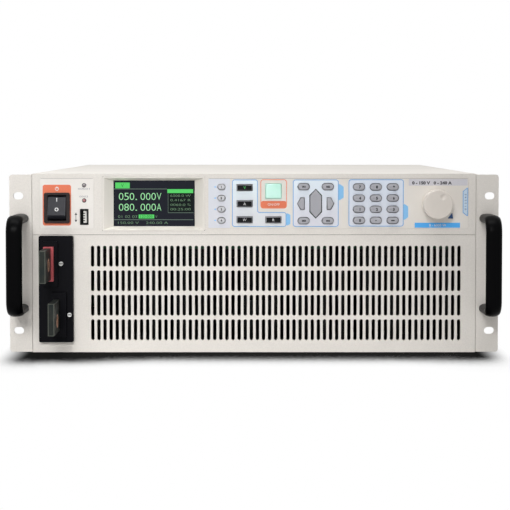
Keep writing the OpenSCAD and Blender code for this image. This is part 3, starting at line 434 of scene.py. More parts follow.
inks = {
    "blue_line": ink("ink_blue_line", rgb(118, 172, 226)),
    "blue_tab": ink("ink_blue_tab", rgb(140, 200, 246)),
    "blue_bar": ink("ink_blue_bar", rgb(82, 180, 255)),
    # Deep blue ink is print for the side numbers; on the triangle by the knob its darkness is painted shade.
    "deep_blue": ink("ink_deep_blue", rgb(40, 78, 128)),
    "pale_blue": ink("ink_pale_blue", rgb(206, 224, 240)),
    "orange": ink("ink_orange", rgb(235, 123, 86)),
    "orange_line": ink("ink_orange_line", rgb(238, 150, 120)),
    "lilac": ink("ink_lilac", rgb(214, 212, 218)),
    "grey_line": ink("ink_grey_line", rgb(158, 158, 166)),
    # Grey ink for the painted shadow lines along the films' top edges.
    "edge_line": ink("ink_edge_line", rgb(180, 175, 172)),
    "legend": ink("ink_legend", rgb(34, 34, 39)),
    "white": ink("ink_white", rgb(236, 236, 236)),
    "window": moulded("window_black_plastic", rgb(15, 15, 17), 0.2, 0.15),
    # Dark ink: painted shade for the screw recesses, also used for the USB socket's contact pads.
    "recess": ink("ink_recess", rgb(34, 34, 37), 0.7),
    "gap": ink("ink_gap", rgb(62, 62, 68), 0.7),
    "tongue": moulded("tongue_white_plastic", rgb(228, 226, 220), 0.35),
}
glows = {
    "ground": glow("screen_ground", rgb(36, 38, 48), 0.7),
    "digit": glow("screen_digit", rgb(168, 240, 176)),
    "green": glow("screen_green", rgb(92, 216, 108)),
    "line": glow("screen_line", rgb(120, 140, 128), 0.7),
    "box": glow("screen_box", rgb(26, 34, 34), 0.6),
    "faint": glow("screen_faint", rgb(128, 166, 130), 0.7),
}
print("inks", len(inks), "glows", len(glows))

# %% [markdown]
# ## One way to make most pieces
# Keycaps, ink patches, outlines, windows and screw recesses are all an outline carried along a short
# profile. An outline is kept as a core point, a reach and a normal for each of its points, so that it can
# be grown or shrunk evenly: point = core + (reach + growth) * normal. Convex corners have a positive
# reach, hollow corners a negative one.

# %% Outlines
ALL_ROUND = 0.9999


def outline(corners, radius, steps=6):
    """Rounded polygon, corners counter-clockwise as seen from the front. At each corner the normal turns
    evenly from the last side's to the next side's while the core point stays the corner arc's centre."""
    p = np.array(corners, float)
    side = np.roll(p, -1, 0) - p
    side /= np.linalg.norm(side, axis=1)[:, None]
    out = np.stack([side[:, 1], -side[:, 0]], 1)
    first = np.roll(out, 1, 0)
    turn = first[:, 0] * out[:, 1] - first[:, 1] * out[:, 0]
    reach = np.sign(turn) * radius
    core = p - reach[:, None] * (first + out) / (1 + (first * out).sum(1))[:, None]
    start = np.arctan2(first[:, 1], first[:, 0])
    angle = np.arctan2(turn, (first * out).sum(1))
    fan = start[:, None] + angle[:, None] * np.linspace(0, 1, steps)
    normal = np.stack([np.cos(fan), np.sin(fan)], -1).reshape(-1, 2)
    return np.repeat(core, steps, 0), np.repeat(reach, steps)[:, None], normal


def block(x0, x1, z0, z1, radius, steps=6):
    """Outline of a rectangle with rounded corners."""
    return outline([(x0, z0), (x1, z0), (x1, z1), (x0, z1)], radius, steps)


def disc(x, z, radius):
    """Outline of a circle: a square whose corner arcs all but meet."""
    return block(x - radius, x + radius, z - radius, z + radius, radius * ALL_ROUND, 8)


print("points of a rounded square", len(block(0, 1, 0, 1, 0.1)[0]))


# %% Profiles carried round an outline
def loft(rings, loop=False):
    """Joins rings of equally many points by quads; with loop the last ring joins the first."""
    rings = np.asarray(rings, float)
    rows, cols = rings.shape[:2]
    r = np.arange(rows if loop else rows - 1)[:, None]
    c = np.arange(cols)[None, :]
    after = (r + 1) % rows
    right = (c + 1) % cols
    quads = np.stack([r * cols + c, r * cols + right, after * cols + right, after * cols + c], -1)
    return rings.reshape(-1, 3), quads.reshape(-1, 4)


def carried(shape, profile, loop=False):
    """Carries a profile round an outline. A profile row is (growth, y, scale): the outline grown by growth,
    drawn in towards its middle by scale, at depth y behind the panel's face, all in millimetres."""
    core, reach, normal = shape
    growth, y, scale = np.array(profile, float).T
    flat = core + (reach + growth[:, None, None]) * normal
    middle = core.mean(0)
    flat = middle + scale[:, None, None] * (flat - middle)
    depth = np.broadcast_to(y[:, None], flat.shape[:2])
    return loft(np.stack([flat[..., 0], depth, flat[..., 1]], -1), loop)


def plate(shape, y0, y1):
    """A flat plate of that outline between two depths."""
    return carried(shape, [(0, y1, 0), (0, y1, 1), (0, y0, 1), (0, y0, 0)])


def stroke(shape, width, y0, y1):
    """A line of that width along an outline."""
    h = width / 2
    return carried(shape, [(h, y0, 1), (h, y1, 1), (-h, y1, 1), (-h, y0, 1)], True)


print("faces of a round plate", len(plate(disc(0, 0, 1), 0, 1)[1]))

# %% Parts into meshes
WELD = 1e-7


def outward(points, faces):
    """Turns a closed part's faces round if they point inwards: the volume, summed over triangles fanned
    from each face's first corner, is then negative."""
    corner = (points - points.mean(0))[faces]
    fan = [np.cross(corner[:, i], corner[:, i + 1]) for i in range(1, faces.shape[1] - 1)]
    return faces if (corner[:, 0] * sum(fan)).sum() > 0 else faces[:, ::-1]


def build(name, parts, finish, body, crease=35, stands_for=()):
    """Puts the parts, given in millimetres from the panel's face, into one mesh that rides on a body."""
    offset = 0
    points = []
    faces = []
    for p, q in parts:
        points.append(p)
        faces += (outward(p, q) + offset).tolist()
        offset += len(p)
    places = (np.concatenate(points) + (0, FACE, 0)) * MM
    mesh = bpy.data.meshes.new(name)
    mesh.from_pydata(places.tolist(), [], faces)
    work = bmesh.new()
    work.from_mesh(mesh)
    bmesh.ops.remove_doubles(work, verts=work.verts, dist=WELD)
    bmesh.ops.dissolve_degenerate(work, edges=work.edges, dist=WELD)
    work.to_mesh(mesh)
    work.free()
    mesh.polygons.foreach_set("use_smooth", np.ones(len(mesh.polygons), bool))
    mesh.set_sharp_from_angle(angle=math.radians(crease))
    mesh.materials.append(finish)
    piece = bpy.data.objects.new(name, mesh)
    bpy.context.scene.collection.objects.link(piece)
    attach(piece, body)
    if stands_for:
        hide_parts(*stands_for)


print("points within", WELD / MM, "mm are welded")

# %% [markdown]
# ## Lettering
# Legends are plain numerals and signs. A text object knows letter shapes; it is turned into a mesh, its
# points are read into an array, stretched to the wanted width and laid against the front. The text object
# itself is then thrown away.

# %% Letters as parts
def letters(text, height, x, z, y0, y1, width=None, align=0.5, weight=0.0):
    """Text as a thin closed part: letter plane (u, v) goes to (x, z), thickness runs from y0 to y1.
    align is the share of the width that lies to the left of x, weight thickens or thins the strokes."""
    curve = bpy.data.curves.new("legend", "FONT")
    curve.body = text
    curve.offset = weight
    curve.extrude = 0.5
    curve.resolution_u = 3
    holder = bpy.data.objects.new("legend", curve)
    bpy.context.scene.collection.objects.link(holder)
    made = holder.evaluated_get(bpy.context.evaluated_depsgraph_get()).to_mesh()
    co = np.empty(len(made.vertices) * 3)
    made.vertices.foreach_get("co", co)
    made.calc_loop_triangles()
    tri = np.empty(len(made.loop_triangles) * 3, int)
    made.loop_triangles.foreach_get("vertices", tri)
    bpy.data.objects.remove(holder)
    bpy.data.curves.remove(curve)
    co = co.reshape(-1, 3)
    low, high = co.min(0), co.max(0)
    size = high - low
    scale = height / size[1]
    wide = width / size[0] if width else scale
    u = (co[:, 0] - low[0] - align * size[0]) * wide + x
    v = (co[:, 1] - (low[1] + high[1]) / 2) * scale + z
    depth = y0 + (high[2] - co[:, 2]) / size[2] * (y1 - y0)
    return np.stack([u, depth, v], 1), tri.reshape(-1, 3)


print("triangles of a nought", len(letters("0", 3, 0, 0, 0, 1)[1]))

# %% [markdown]
# ## Keycaps
# The keys are silicone caps with a soft round edge. In the CAD model each is a chamfered solid with a
# retaining lip; here the same outline is carried along a profile with a rounded rim and a slightly
# pillowed top. Sizes and places are read from the CAD nodes, so a cap always fits its hole.

# %% Cap outlines
LIP = 1.0
PIN = 2.4
ARROW_TIP = 3.4
HEX_TIP = 6.5


def cap_size(name, extra=(LIP, LIP)):
    """Middle x and z, width and height of a key without its lip or pins, in millimetres."""
    low, high = box_mm(name)
    size = (high - low)[[0, 2]] - 2 * np.array(extra)
    middle = ((low + high) / 2)[[0, 2]]
    return middle[0], middle[1], size[0], size[1]


def cap_outline(name):
    """Oval, bar, arrow or six-sided outline of a key. Each corner's radius is a little more than what rim
    and draft take off it on the way to the top."""
    x, z, w, h = cap_size(name, (PIN, 0)) if name == "up_down_key" else cap_size(name)
    a, b = w / 2, h / 2
    shoulder, tip = a - ARROW_TIP, b - HEX_TIP
    pointed = {
        "up_down_key": ([(0, -b), (a, -tip), (a, tip), (0, b), (-a, tip), (-a, -tip)], 0.9),
        "left_key": ([(-a, 0), (-shoulder, -b), (a, -b), (a, b), (-shoulder, b)], 1.1),
        "right_key": ([(-a, -b), (shoulder, -b), (a, 0), (shoulder, b), (-a, b)], 1.1),
    }
    if name in pointed:
        corners, radius = pointed[name]
        return outline(np.array(corners) + (x, z), radius)
    if name.startswith(("mode", "load")):
        return block(x - a, x + a, z - b, z + b, 1.3)
    return block(x - a, x + a, z - b, z + b, b * ALL_ROUND, 10)


print("load key's place and size", np.round(cap_size("load_key"), 1))

# %% Cap profiles and caps
PANEL = 3.0
SKIRT = PANEL - 0.6
LIP_FRONT = PANEL + 0.2
LIP_BACK = LIP_FRONT + 1.2
RISE = 2.3
CROWN = 0.12
USUAL_RIM = (0.55, 0.5)
OTHER_RIMS = {"load_key": (1.1, 0.15), "up_down_key": (0.55, 0.3)}


def cap_profile(edge, draft, lip):
    """Back of the lip, skirt, a quarter-round rim of radius edge, and a crown raised in the middle. The
    skirt narrows by draft on its way to the front, which widens the dark gap round the cap."""
    t = np.linspace(0, np.pi / 2, 6)
    rim = [(edge * (np.cos(a) - 1) - draft, -RISE + edge - edge * np.sin(a), 1) for a in t]
    top = [(-edge - draft, -RISE - CROWN * (1 - s * s), s) for s in (0.75, 0.5, 0.25, 0)]
    foot = [(lip, LIP_BACK, 0), (lip, LIP_BACK, 1), (lip, LIP_FRONT, 1), (0, LIP_FRONT, 1), (0, PANEL, 1)]
    return [*foot, (-draft, SKIRT, 1), *rim, *top]


caps = [name for name in nodes if "_key" in name]
for name in caps:
    edge, draft = OTHER_RIMS.get(name, USUAL_RIM)
    lip = 0.0 if name == "up_down_key" else LIP
    finish = finishes["key_pale"] if name.startswith("soft") else finishes[slots[name]]
    part = carried(cap_outline(name), cap_profile(edge, draft, lip))
    build(name + "_cap", [part], finish, name, 40, [name])
print("keycaps", len(caps))

# %% [markdown]
# ## Legends and windows on the caps
# Number keys carry a dark numeral beside a small pale bar, the mode keys a black window with a unit sign,
# the four corner keys of the arrow group a plain number. Each legend rides on its own key, so it sinks
# with the press.

# %% Legends
INK_TOP = -RISE - 0.17
INK_FOOT = -RISE + 0.1
BOLD = 0.06
CORNER_KEYS = ("escape_key", "enter_key", "shift_key", "menu_key")
# Text, its height and its shift to the right
key_text = {"number_key_%d" % i: (str(i), 3.0, 0.9) for i in range(10)}
key_text.update({"soft_key_%d" % i: (str(i), 2.3, 0.0) for i in range(1, 5)})
key_text.update({name: ("00%d" % i, 2.1, 0.2) for i, name in enumerate(CORNER_KEYS, 1)})


def on_key(name, kind, part, finish):
    """A piece on a keycap, which rides with the key."""
    build(name + kind, [part], finish, name)


for name, (text, height, shift) in key_text.items():
    x, z, _, _ = cap_size(name)
    part = letters(text, height, x + shift, z, INK_TOP, INK_FOOT, weight=BOLD)
    on_key(name, "_legend", part, inks["legend"])
    if name.startswith("number"):
        side = plate(block(x - 3.4, x - 1.6, z - 0.3, z + 0.3, 0.25), INK_TOP, INK_FOOT)
        on_key(name, "_side_mark", side, inks["grey_line"])
print("numbered keys", len(key_text))

# %% Bars, windows and unit signs
BAR_WIDTHS = {"number_key_clear": 3.6, "number_key_point": 1.2}
WINDOW_RIM = 0.8
UNITS = "VAWR"
for name, width in BAR_WIDTHS.items():
    x, z, _, _ = cap_size(name)
    part = plate(block(x - width / 2, x + width / 2, z - 0.6, z + 0.6, 0.45), INK_TOP, INK_FOOT)
    on_key(name, "_legend", part, inks["legend"])
for i, sign in enumerate(UNITS, 1):
    name = "mode_key_%d" % i
    x, z, w, h = cap_size(name)
    a, b = w / 2 - WINDOW_RIM, h / 2 - WINDOW_RIM
    on_key(name, "_window", plate(block(x - a, x + a, z - b, z + b, 0.5), INK_TOP, INK_FOOT), inks["window"])
    part = letters(sign, 2.4, x, z, INK_TOP - 0.04, INK_TOP + 0.1)
    on_key(name, "_legend", part, glows["green"] if i == 1 else inks["white"])
print("windows", len(UNITS))

# %% [markdown]
# ## Printed graphics on the films
# Blue and orange outlines gather the keys into groups, with filled tabs at their sides, a strip with plain
# ratings above the knob and a blue bar under it. Each is a sliver of ink 0.06 mm thick lying on the film.

# %% Blue ink
INK = -0.06
OVER_INK = INK - 0.04


def print_film(name, parts, colour):
    """Ink on the films, which stay with the case."""
    build(name, parts, inks[colour], "case")


def filled(*shapes):
    """A patch of ink for each outline."""
    return [plate(shape, INK, 0) for shape in shapes]


def tab(x, z0, z1, out, slant):
    """Outline of a tab on an upright edge at x: it stands out to the right, with slanting ends."""
    return outline([(x, z0), (x + out, z0 + slant), (x + out, z1 - slant), (x, z1)], 0.8)


x0, x1, z0, z3 = FIELDS["mode"]
_, x2, _, z1 = FIELDS["mode_foot"]
mode_frame = outline([(x0, z0), (x2, z0), (x2, z1), (x1, z1), (x1, z3), (x0, z3)], 2.0)
side_sign = outline([(210.8, 135.2), (210.8, 163.2), (206.3, 159.6), (206.3, 138.8)], 0.4)
frames = [mode_frame, block(*FIELDS["arrow"], 2.4), block(*FIELDS["number"], 2.4), side_sign]
print_film("print_side_sign", [plate(side_sign, INK / 2, 0)], "pale_blue")
print_film("print_blue_lines", [stroke(shape, 0.75, INK, 0) for shape in frames], "blue_line")
tab_rows = [(32.0, 125.4, 138.6, 3.9, 2.2), (83.6, 150.2, 167.6, 4.8, 3.4), (147.7, 130.8, 148.0, 4.4, 3.4)]
tabs = [tab(*places) for places in tab_rows]
print_film("print_blue_tabs", filled(*tabs), "blue_tab")
print_film("print_blue_bar", filled(block(158.6, 203.3, 123.8, 128.7, 0.3)), "blue_bar")
marks = [outline([(-39.7, z), (-37.6, z - 1), (-37.6, z + 1)], 0.2) for z in (131, 142, 153, 164)]
print_film("print_soft_marks", filled(*marks), "blue_tab")
# Painted shade: the triangle by the knob is drawn deep blue, as it looks in the knob's shadow.
knob_mark = outline([(191.0, 132.9), (196.6, 132.7), (195.6, 138.6)], 0.2)
print_film("print_knob_mark", filled(knob_mark), "deep_blue")
print("blue frames", len(frames), "tabs", len(tabs))

# %% Numbers, arrow and painted shadow lines
LAMP_TEXT_X = -167.8
print_film("print_title_strip", filled(block(152.6, 210.6, 165.4, 171.9, 0.4)), "lilac")
ratings = letters("0 - 150 V   0 - 240 A", 3.2, 155.9, 168.0, OVER_INK, INK, 39.2, 0.0, 0.05)
print_film("print_ratings", [ratings], "legend")
lamp_rows = [("00001", 162.2, 11.5), ("0002", 154.6, 8.6)]
lamp_numbers = [letters(text, 1.6, LAMP_TEXT_X, z, INK, 0, width) for text, z, width in lamp_rows]
print_film("print_lamp_numbers", lamp_numbers, "grey_line")
print_film("print_power_rating", [letters("0 - 6000 W", 2.5, 181.2, 126.2, OVER_INK, INK)], "white")
across, faces = letters("0 1 2 3 4 5", 1.7, 0, 0, INK, INK / 2, 16.0)
upright = np.stack([208.7 - across[:, 2], across[:, 1], 149.2 + across[:, 0]], 1)
print_film("print_side_numbers", [(upright, faces)], "deep_blue")
arrow = [block(-175.95, -175.45, 131, 137, 0.1),
         outline([(-177, 136.4), (-174.4, 136.4), (-175.7, 138.8)], 0.1),
         outline([(-175.7, 129.2), (-174.4, 131.6), (-177, 131.6)], 0.1)]
print_film("print_port_arrow", filled(*arrow), "legend")
# Painted shadow: a thin grey line along the top edge of each film.
edges = [block(left, right, 172.2, 172.55, 0.1) for left, right in ((-210.2, -158.8), (-44.4, 210.8))]
print_film("print_top_line", filled(*edges), "edge_line")
print("numbers, arrow and edge lines done")

# %% [markdown]
# ## Orange print: the load key's field and the mains switch's field
# The load key sits in a rounded orange frame with a filled band that says ON/OFF. The mains switch sits on
# an orange field; only the rim that shows round the switch frame is printed, as a loft between two outlines.

# %% Orange fields
UNDER_FRAME = -0.6
SIGN_X, SIGN_Z = -194.3, 162.2
print_film("print_load_line", [stroke(block(6.7, 32.1, 143.1, 171.2, 2.6), 0.8, INK, 0)], "orange_line")
print_film("print_load_band", [plate(block(6.9, 31.9, 143.3, 150.2, 2.0), INK - 0.01, 0)], "orange")
print_film("print_load_legend", [letters("ON/OFF", 2.3, 19.4, 146.7, INK - 0.05, INK + 0.01)], "white")


def grown(shape, growth):
    """Points of an outline, grown evenly."""
    core, reach, normal = shape
    return core + (reach + growth) * normal


low, high = box_mm("switch_frame")
inner = grown(block(low[0], high[0], low[2], high[2], 2), UNDER_FRAME)
outer = grown(block(-208.4, -180.4, 125.9, 166.2, 2.2), 0)
rings = [np.insert(r, 1, y, 1) for r, y in ((outer, 0), (outer, INK), (inner, INK), (inner, 0))]
print_film("print_switch_field", [loft(rings, True)], "orange")
ring = stroke(disc(SIGN_X, SIGN_Z, 1.55), 0.56, INK - 0.05, INK)
bar = plate(block(SIGN_X - 0.3, SIGN_X + 0.3, SIGN_Z + 0.2, SIGN_Z + 2.2, 0.2), INK - 0.06, INK)
print_film("print_switch_sign", [ring, bar], "white")
print("orange print done")

# %% [markdown]
# ## The display's picture
# The screen lies behind sloping bevels. Its picture is made of thin lit patches: a dark ground, two rows of
# large figures, an information box and small rows of numbers. All of it is plain numbers and unit signs.

# %% Places and patches on the screen
GLASS = box_mm("display_module")[0][1] - FACE
SCREEN_X, SCREEN_W = -139.25, 80.5
SCREEN_Z, SCREEN_H = 170.2, 45.4
LAYER = 0.04
LAYER_THICK = 0.03
THIN = -0.012


def at(u, v):
    """Place on the screen from shares of its width and height, v downwards."""
    return SCREEN_X + SCREEN_W * u, SCREEN_Z - SCREEN_H * v


def patch(u0, u1, v0, v1, layer):
    """Rectangle of the picture, a hair in front of the glass."""
    x0, z1 = at(u0, v0)
    x1, z0 = at(u1, v1)
    y = GLASS - LAYER * layer
    return plate(block(x0, x1, z0, z1, 0.05, 2), y, y + LAYER_THICK)


def words(text, u0, u1, v, share):
    """Text that fills the width from u0 to u1; share is its height as a share of the screen's."""
    x, z = at(u0, v)
    y = GLASS - LAYER * 3
    return letters(text, SCREEN_H * share, x, z, y, y + LAYER_THICK, SCREEN_W * (u1 - u0), 0.0, THIN)


def figure_row(text, v):
    """Large figures in cells of equal width; a point is a small patch at the foot of its cell."""
    starts = 0.0655 + 0.0667 * np.arange(len(text))
    points = [patch(u + 0.006, u + 0.022, v + 0.055, v + 0.077, 3) for c, u in zip(text, starts) if c == "."]
    return points + [words(c, u, u + 0.056, v, 0.155) for c, u in zip(text, starts) if c != "."]


def light_up(name, parts, colour):
    """A lit piece of the picture, which stays with the case."""
    build(name, parts, glows[colour], "case")


print("glass", round(GLASS, 2), "mm behind the face")

# %% Lit picture
light_up("screen_ground", [patch(0.002, 0.998, 0.003, 0.997, 1)], "ground")
light_up("screen_box", [patch(0.67, 0.985, 0.28, 0.71, 2)], "box")
greens = [(0.022, 0.2, 0.045, 0.172), (0.663, 0.98, 0.19, 0.275), (0.309, 0.5, 0.745, 0.83)]
light_up("screen_green", [patch(*sides, 2) for sides in greens], "green")
rules = [(0.003, 0.66, 0.18, 0.192, 2), (0.003, 0.98, 0.852, 0.864, 2), (0.67, 0.985, 0.7, 0.71, 3),
         (0.67, 0.674, 0.28, 0.698, 3)]
light_up("screen_rules", [patch(*rule) for rule in rules], "line")
light_up("screen_figures", figure_row("050.000V", 0.349) + figure_row("080.000A", 0.584), "digit")
box_rows = [("6000.0 W", 0.333), ("0.4167 R", 0.43), ("0060.0 %", 0.53), ("00:25:00", 0.628)]
small = [words(text, 0.7, 0.95, v, 0.05) for text, v in box_rows]
small += [words("01 02 03", 0.055, 0.29, 0.79, 0.058), words("V", 0.515, 0.54, 0.79, 0.05),
          words("150.00 V", 0.055, 0.31, 0.925, 0.052), words("240.00 A", 0.4, 0.67, 0.925, 0.052)]
light_up("screen_small", small, "faint")
dark = [words("120.000", 0.33, 0.48, 0.787, 0.055), words("V", 0.095, 0.125, 0.11, 0.07)]
light_up("screen_dark_text", dark, "ground")
print("green patches", len(greens), "rules", len(rules), "small texts", len(small))

# %% [markdown]
# ## The knob
# A turned knob is a profile carried round a circle. The finger dimple breaks that symmetry, so after the
# turning, every point of the top that lies within the dimple's radius is sunk along a smooth dish.

# %% Turned knob
DIMPLE_X, DIMPLE_Z = 4.4, 7.4
DIMPLE_R = 3.4
DIMPLE_DEEP = 0.9
KNOB_RIM = 1.0
KNOB_TAPER = 0.15


def turned_knob():
    """Radius and height run along a side, a rounded rim and a flat top; the dish is depth * (1 - q^2)^2,
    q the distance from the dimple's middle over its radius."""
    low, high = box_mm("knob")
    x, _, z = (low + high) / 2
    r = (high - low)[0] / 2
    front = low[1] - FACE
    t = np.linspace(0, np.pi / 2, 8)
    side_r = [0, r - 0.5, r, r, r - KNOB_TAPER]
    side_y = [-0.8, -0.8, -1.2, -4, front + KNOB_RIM]
    rim_r = r - KNOB_TAPER - KNOB_RIM + KNOB_RIM * np.cos(t)
    rim_y = front + KNOB_RIM - KNOB_RIM * np.sin(t)
    top_r = np.linspace(rim_r[-1], 0, 34)[1:]
    radius = np.concatenate([side_r, rim_r, top_r])
    y = np.concatenate([side_y, rim_y, np.full(len(top_r), front)])
    on_top = np.arange(len(y)) >= len(side_r) + len(rim_r)
    angle = np.linspace(0, 2 * np.pi, 120, endpoint=False)
    px = radius[:, None] * np.cos(angle)
    pz = radius[:, None] * np.sin(angle)
    q = np.clip(np.hypot(px - DIMPLE_X, pz - DIMPLE_Z) / DIMPLE_R, 0, 1)
    sunk = DIMPLE_DEEP * (1 - q * q) ** 2 * on_top[:, None]
    return loft(np.stack([px + x, y[:, None] + sunk, pz + z], -1))


build("knob_turned", [turned_knob()], finishes["knob_cream"], "knob", 30, ["knob"])
print("knob done")

# %% [markdown]
# ## Bow handles
# The handles are bent from flat-oval bar. The section is a superellipse and the path two straight legs, two
# quarter bends and a grip; at each step the section stands square to the path.

# %% Bent handles
HANDLE_HALF = 4.7
BEND = 12.0
ROUNDNESS = 2.4


def bow_handle(name):
    """Points = path + a * c * X + b * s * across, with c and s the cosine and sine of a superellipse whose
    exponent is ROUNDNESS."""
    low, high = box_mm(name)
    x = (low + high)[0] / 2
    a = (high - low)[0] / 2
    b = HANDLE_HALF
    straight = FACE - low[1] - b - BEND
    z0, z1 = low[2] + b, high[2] - b
    t = np.linspace(0, np.pi / 2, 14)
    leg = np.linspace(0, straight, 10)[:-1]
    grip = np.linspace(z1 - BEND, z0 + BEND, 16)[1:-1]
    y = np.concatenate([leg, straight + BEND * np.sin(t), np.full(len(grip), straight + BEND),
                        straight + BEND * np.sin(t[::-1]), leg[::-1]])
    z = np.concatenate([np.full(len(leg), z1), z1 - BEND + BEND * np.cos(t), grip,
                        z0 + BEND - BEND * np.cos(t[::-1]), np.full(len(leg), z0)])
    path = np.stack([-y, z], 1)
    run = np.gradient(path, axis=0)
    run /= np.linalg.norm(run, axis=1)[:, None]
    v = np.linspace(0, 2 * np.pi, 40, endpoint=False)
    c = np.sign(np.cos(v)) * np.abs(np.cos(v)) ** (2 / ROUNDNESS)
    s = np.sign(np.sin(v)) * np.abs(np.sin(v)) ** (2 / ROUNDNESS)
    py = path[:, :1] - b * s * run[:, 1:]
    pz = path[:, 1:] + b * s * run[:, :1]
    rings = np.stack([np.broadcast_to(x + a * c, py.shape), py, pz], -1)
    ends = [np.broadcast_to(rings[i].mean(0), rings[i].shape)[None] for i in (0, -1)]
    return loft(np.concatenate([ends[0], rings, ends[1]]))


for name in ("handle_left", "handle_right"):
    build(name + "_bow", [bow_handle(name)], finishes["handle_black"], "case", 50, [name])
print("handles done")

# %% [markdown]
# ## Marks on the rocker, the USB tongue, screw recesses
# Small things that give scale: the I and O on the tilted rocker, the white tongue inside the USB socket, and
# the screws' recesses on the sides, the back and the terminals, each recess a flat dark mark of painted
# shade.

# %% Rocker marks
ROCKER_REST = math.radians(-12)
ROCKER_REACH = 8.34
PIVOT = 4.1


def tilted(part):
    """Turns a part drawn flat by the rocker's rest angle and sets it on the rocker's face."""
    low, high = box_mm("switch_frame")
    x, _, z = (low + high) / 2
    points, faces = part
    y, up = points[:, 1] - ROCKER_REACH, points[:, 2]
    turned_y = y * math.cos(ROCKER_REST) - up * math.sin(ROCKER_REST) + PIVOT
    turned_z = y * math.sin(ROCKER_REST) + up * math.cos(ROCKER_REST) + z
    return np.stack([points[:, 0] + x, turned_y, turned_z], 1), faces


one = plate(block(-0.35, 0.35, 4.6, 8.6, 0.3), -0.05, 0.02)
nought = stroke(disc(0, -3.2, 1.5), 0.75, -0.05, 0.02)
build("rocker_marks", [tilted(one), tilted(nought)], inks["white"], "power_rocker")
print("rocker marks done")

# %% USB tongue and lamp rims
CONTACTS = (-3.6, -1.2, 1.2, 3.6)
low, high = box_mm("usb_socket")
x, _, z = (low + high) / 2
tongue = plate(block(x - 0.9, x + 2.3, z - 5.8, z + 5.8, 0.2), 1.2, 9)
build("usb_tongue", [tongue], inks["tongue"], "case")
pads = [plate(block(x - 1.1, x + 0.6, z + k - 0.5, z + k + 0.5, 0.1), 1.1, 8) for k in CONTACTS]
build("usb_contacts", pads, inks["recess"], "case")
low, high = box_mm("status_leds")
x, r = (low + high)[0] / 2, (high - low)[0] / 2
rims = [stroke(disc(x, z, r + 0.35), 0.6, INK, 0) for z in (low[2] + r, high[2] - r)]
print_film("print_lamp_rims", rims, "gap")
print("contacts", len(pads), "lamp rims", len(rims))


# %% Screw recesses
def cross(size, width):
    """Outline of a plus sign about the origin."""
    a, b = size / 2, width / 2
    return outline([(-b, -a), (b, -a), (b, -b), (a, -b), (a, b), (b, b), (b, a), (-b, a), (-b, b), (-a, b),
                    (-a, -b), (-b, -b)], 0.12, 3)


def laid(part, place, out):
    """Lays a part drawn for the front on an upright face whose outward normal is out: its width runs
    across that face, its depth along the normal."""
    points, faces = part
    u, depth, v = points.T
    x, y, z = place
    turned_x = x - out[1] * u - out[0] * depth
    turned_y = y - FACE + out[0] * u - out[1] * depth
    return np.stack([turned_x, turned_y, z + v], 1), faces


SIDES = (-1, 1)
BACK = 262.2
TERMINAL = -269.8
ear_screws = [((s * 224.4, -237.5, z), (s, 0)) for s in SIDES for z in (35.4, 88.5, 141.6)]
cover_screws = [((s * 221.4, y, 169.0), (s, 0)) for s in SIDES for y in (-170.0, 22.5, 215.0)]
handle_screws = [((s * 230.25, -257.8, z), (0, 1)) for s in SIDES for z in (44.0, 133.0)]
fan_screws = [((x, BACK, z), (0, 1)) for x in (-155, -50, -31, 74, 93, 198) for z in (35.5, 140.5)]
earth_screw = [((-193.2, BACK, 108.0), (0, 1))]
sense_screws = [(-189.85, TERMINAL, 88.6), (-181.65, TERMINAL, 38.2)]
# Painted shade: each screw's recess is a flat dark cross or slot on its head.
crossed = plate(cross(4.4, 1.1), -0.03, 0.02)
slotted = plate(block(-1.9, 1.9, -0.45, 0.45, 0.1), -0.03, 0.02)
heads = ear_screws + cover_screws + handle_screws + fan_screws + earth_screw
recesses = [laid(crossed, place, out) for place, out in heads]
recesses += [laid(slotted, place, (0, -1)) for place in sense_screws]
build("screw_recesses", recesses, inks["recess"], "case")
print("screw recesses", len(recesses))

# %% [markdown]
# ## Air guide before the fans
# Slanted slats between the heat sinks and the fans lead the air past the fins. They also stop the eye: their
# black is painted shade, so the slots in front look dark instead of showing daylight through the back. Each
# slat is a leaning section drawn along x.

# %% Air guide
GUIDE_FOOT = 190 - FACE
GUIDE_STATIONS = (-160.0, -20.0, 120.0, 203.0)
SLAT_PITCH = 9.0
SLAT_LEAN, SLAT_DEEP, SLAT_THICK = 12, 20, 0.8


def slat(z):
    """A slat leaning up from height z: a parallelogram in y and z, carried along x, both ends closed."""
    back, top = GUIDE_FOOT + SLAT_DEEP, z + SLAT_LEAN
    section = np.array([[GUIDE_FOOT, z], [back, top], [back, top + SLAT_THICK], [GUIDE_FOOT, z + SLAT_THICK]])
    points, faces = loft([np.column_stack([np.full(4, x), section]) for x in GUIDE_STATIONS])
    first = np.arange(4)
    ends = np.stack([first[::-1], first + len(points) - 4])
    return points, np.concatenate([faces, ends])


slats = [slat(z) for z in np.arange(4, 130, SLAT_PITCH)]
# Black slats: painted shade behind the slots.
build("air_guide", slats, finishes["sink_black"], "case")
print("slats", len(slats))

# %% [markdown]
# ## Studio: floor, backdrop and light
# The ground is white and keeps only a soft contact shadow. The floor is a pale matt sheet that throws some
# light back on to the panel. For camera, glossy and transmission rays alone it is plain white where nothing
# stands near, and dark along the object's foot as a painted contact shadow. A soft light stands in front and
# a little to the left, a wider one above, and the world fills in.

# %% Floor finish
WHITE = (1, 1, 1, 1)
PALE = (0.7, 0.7, 0.7, 1)
PAINTED_SHADOW = (0.014, 0.014, 0.014, 1)
REACH, NEAR, FAR = 0.1, 0.73, 0.985
ENDS_FROM, ENDS_TO = 0.22, 0.252


def seen_directly(shader):
    """1 for rays from the camera, a mirror-like surface or glass; 0 for rays that carry light about."""
    ray = {value.socket.name: value for value in shader.node("ShaderNodeLightPath", {}, {})}
    rays = ray["Is Camera Ray"] + ray["Is Glossy Ray"] + ray["Is Transmission Ray"]
    return rays.math("MINIMUM", rays, 1.0)


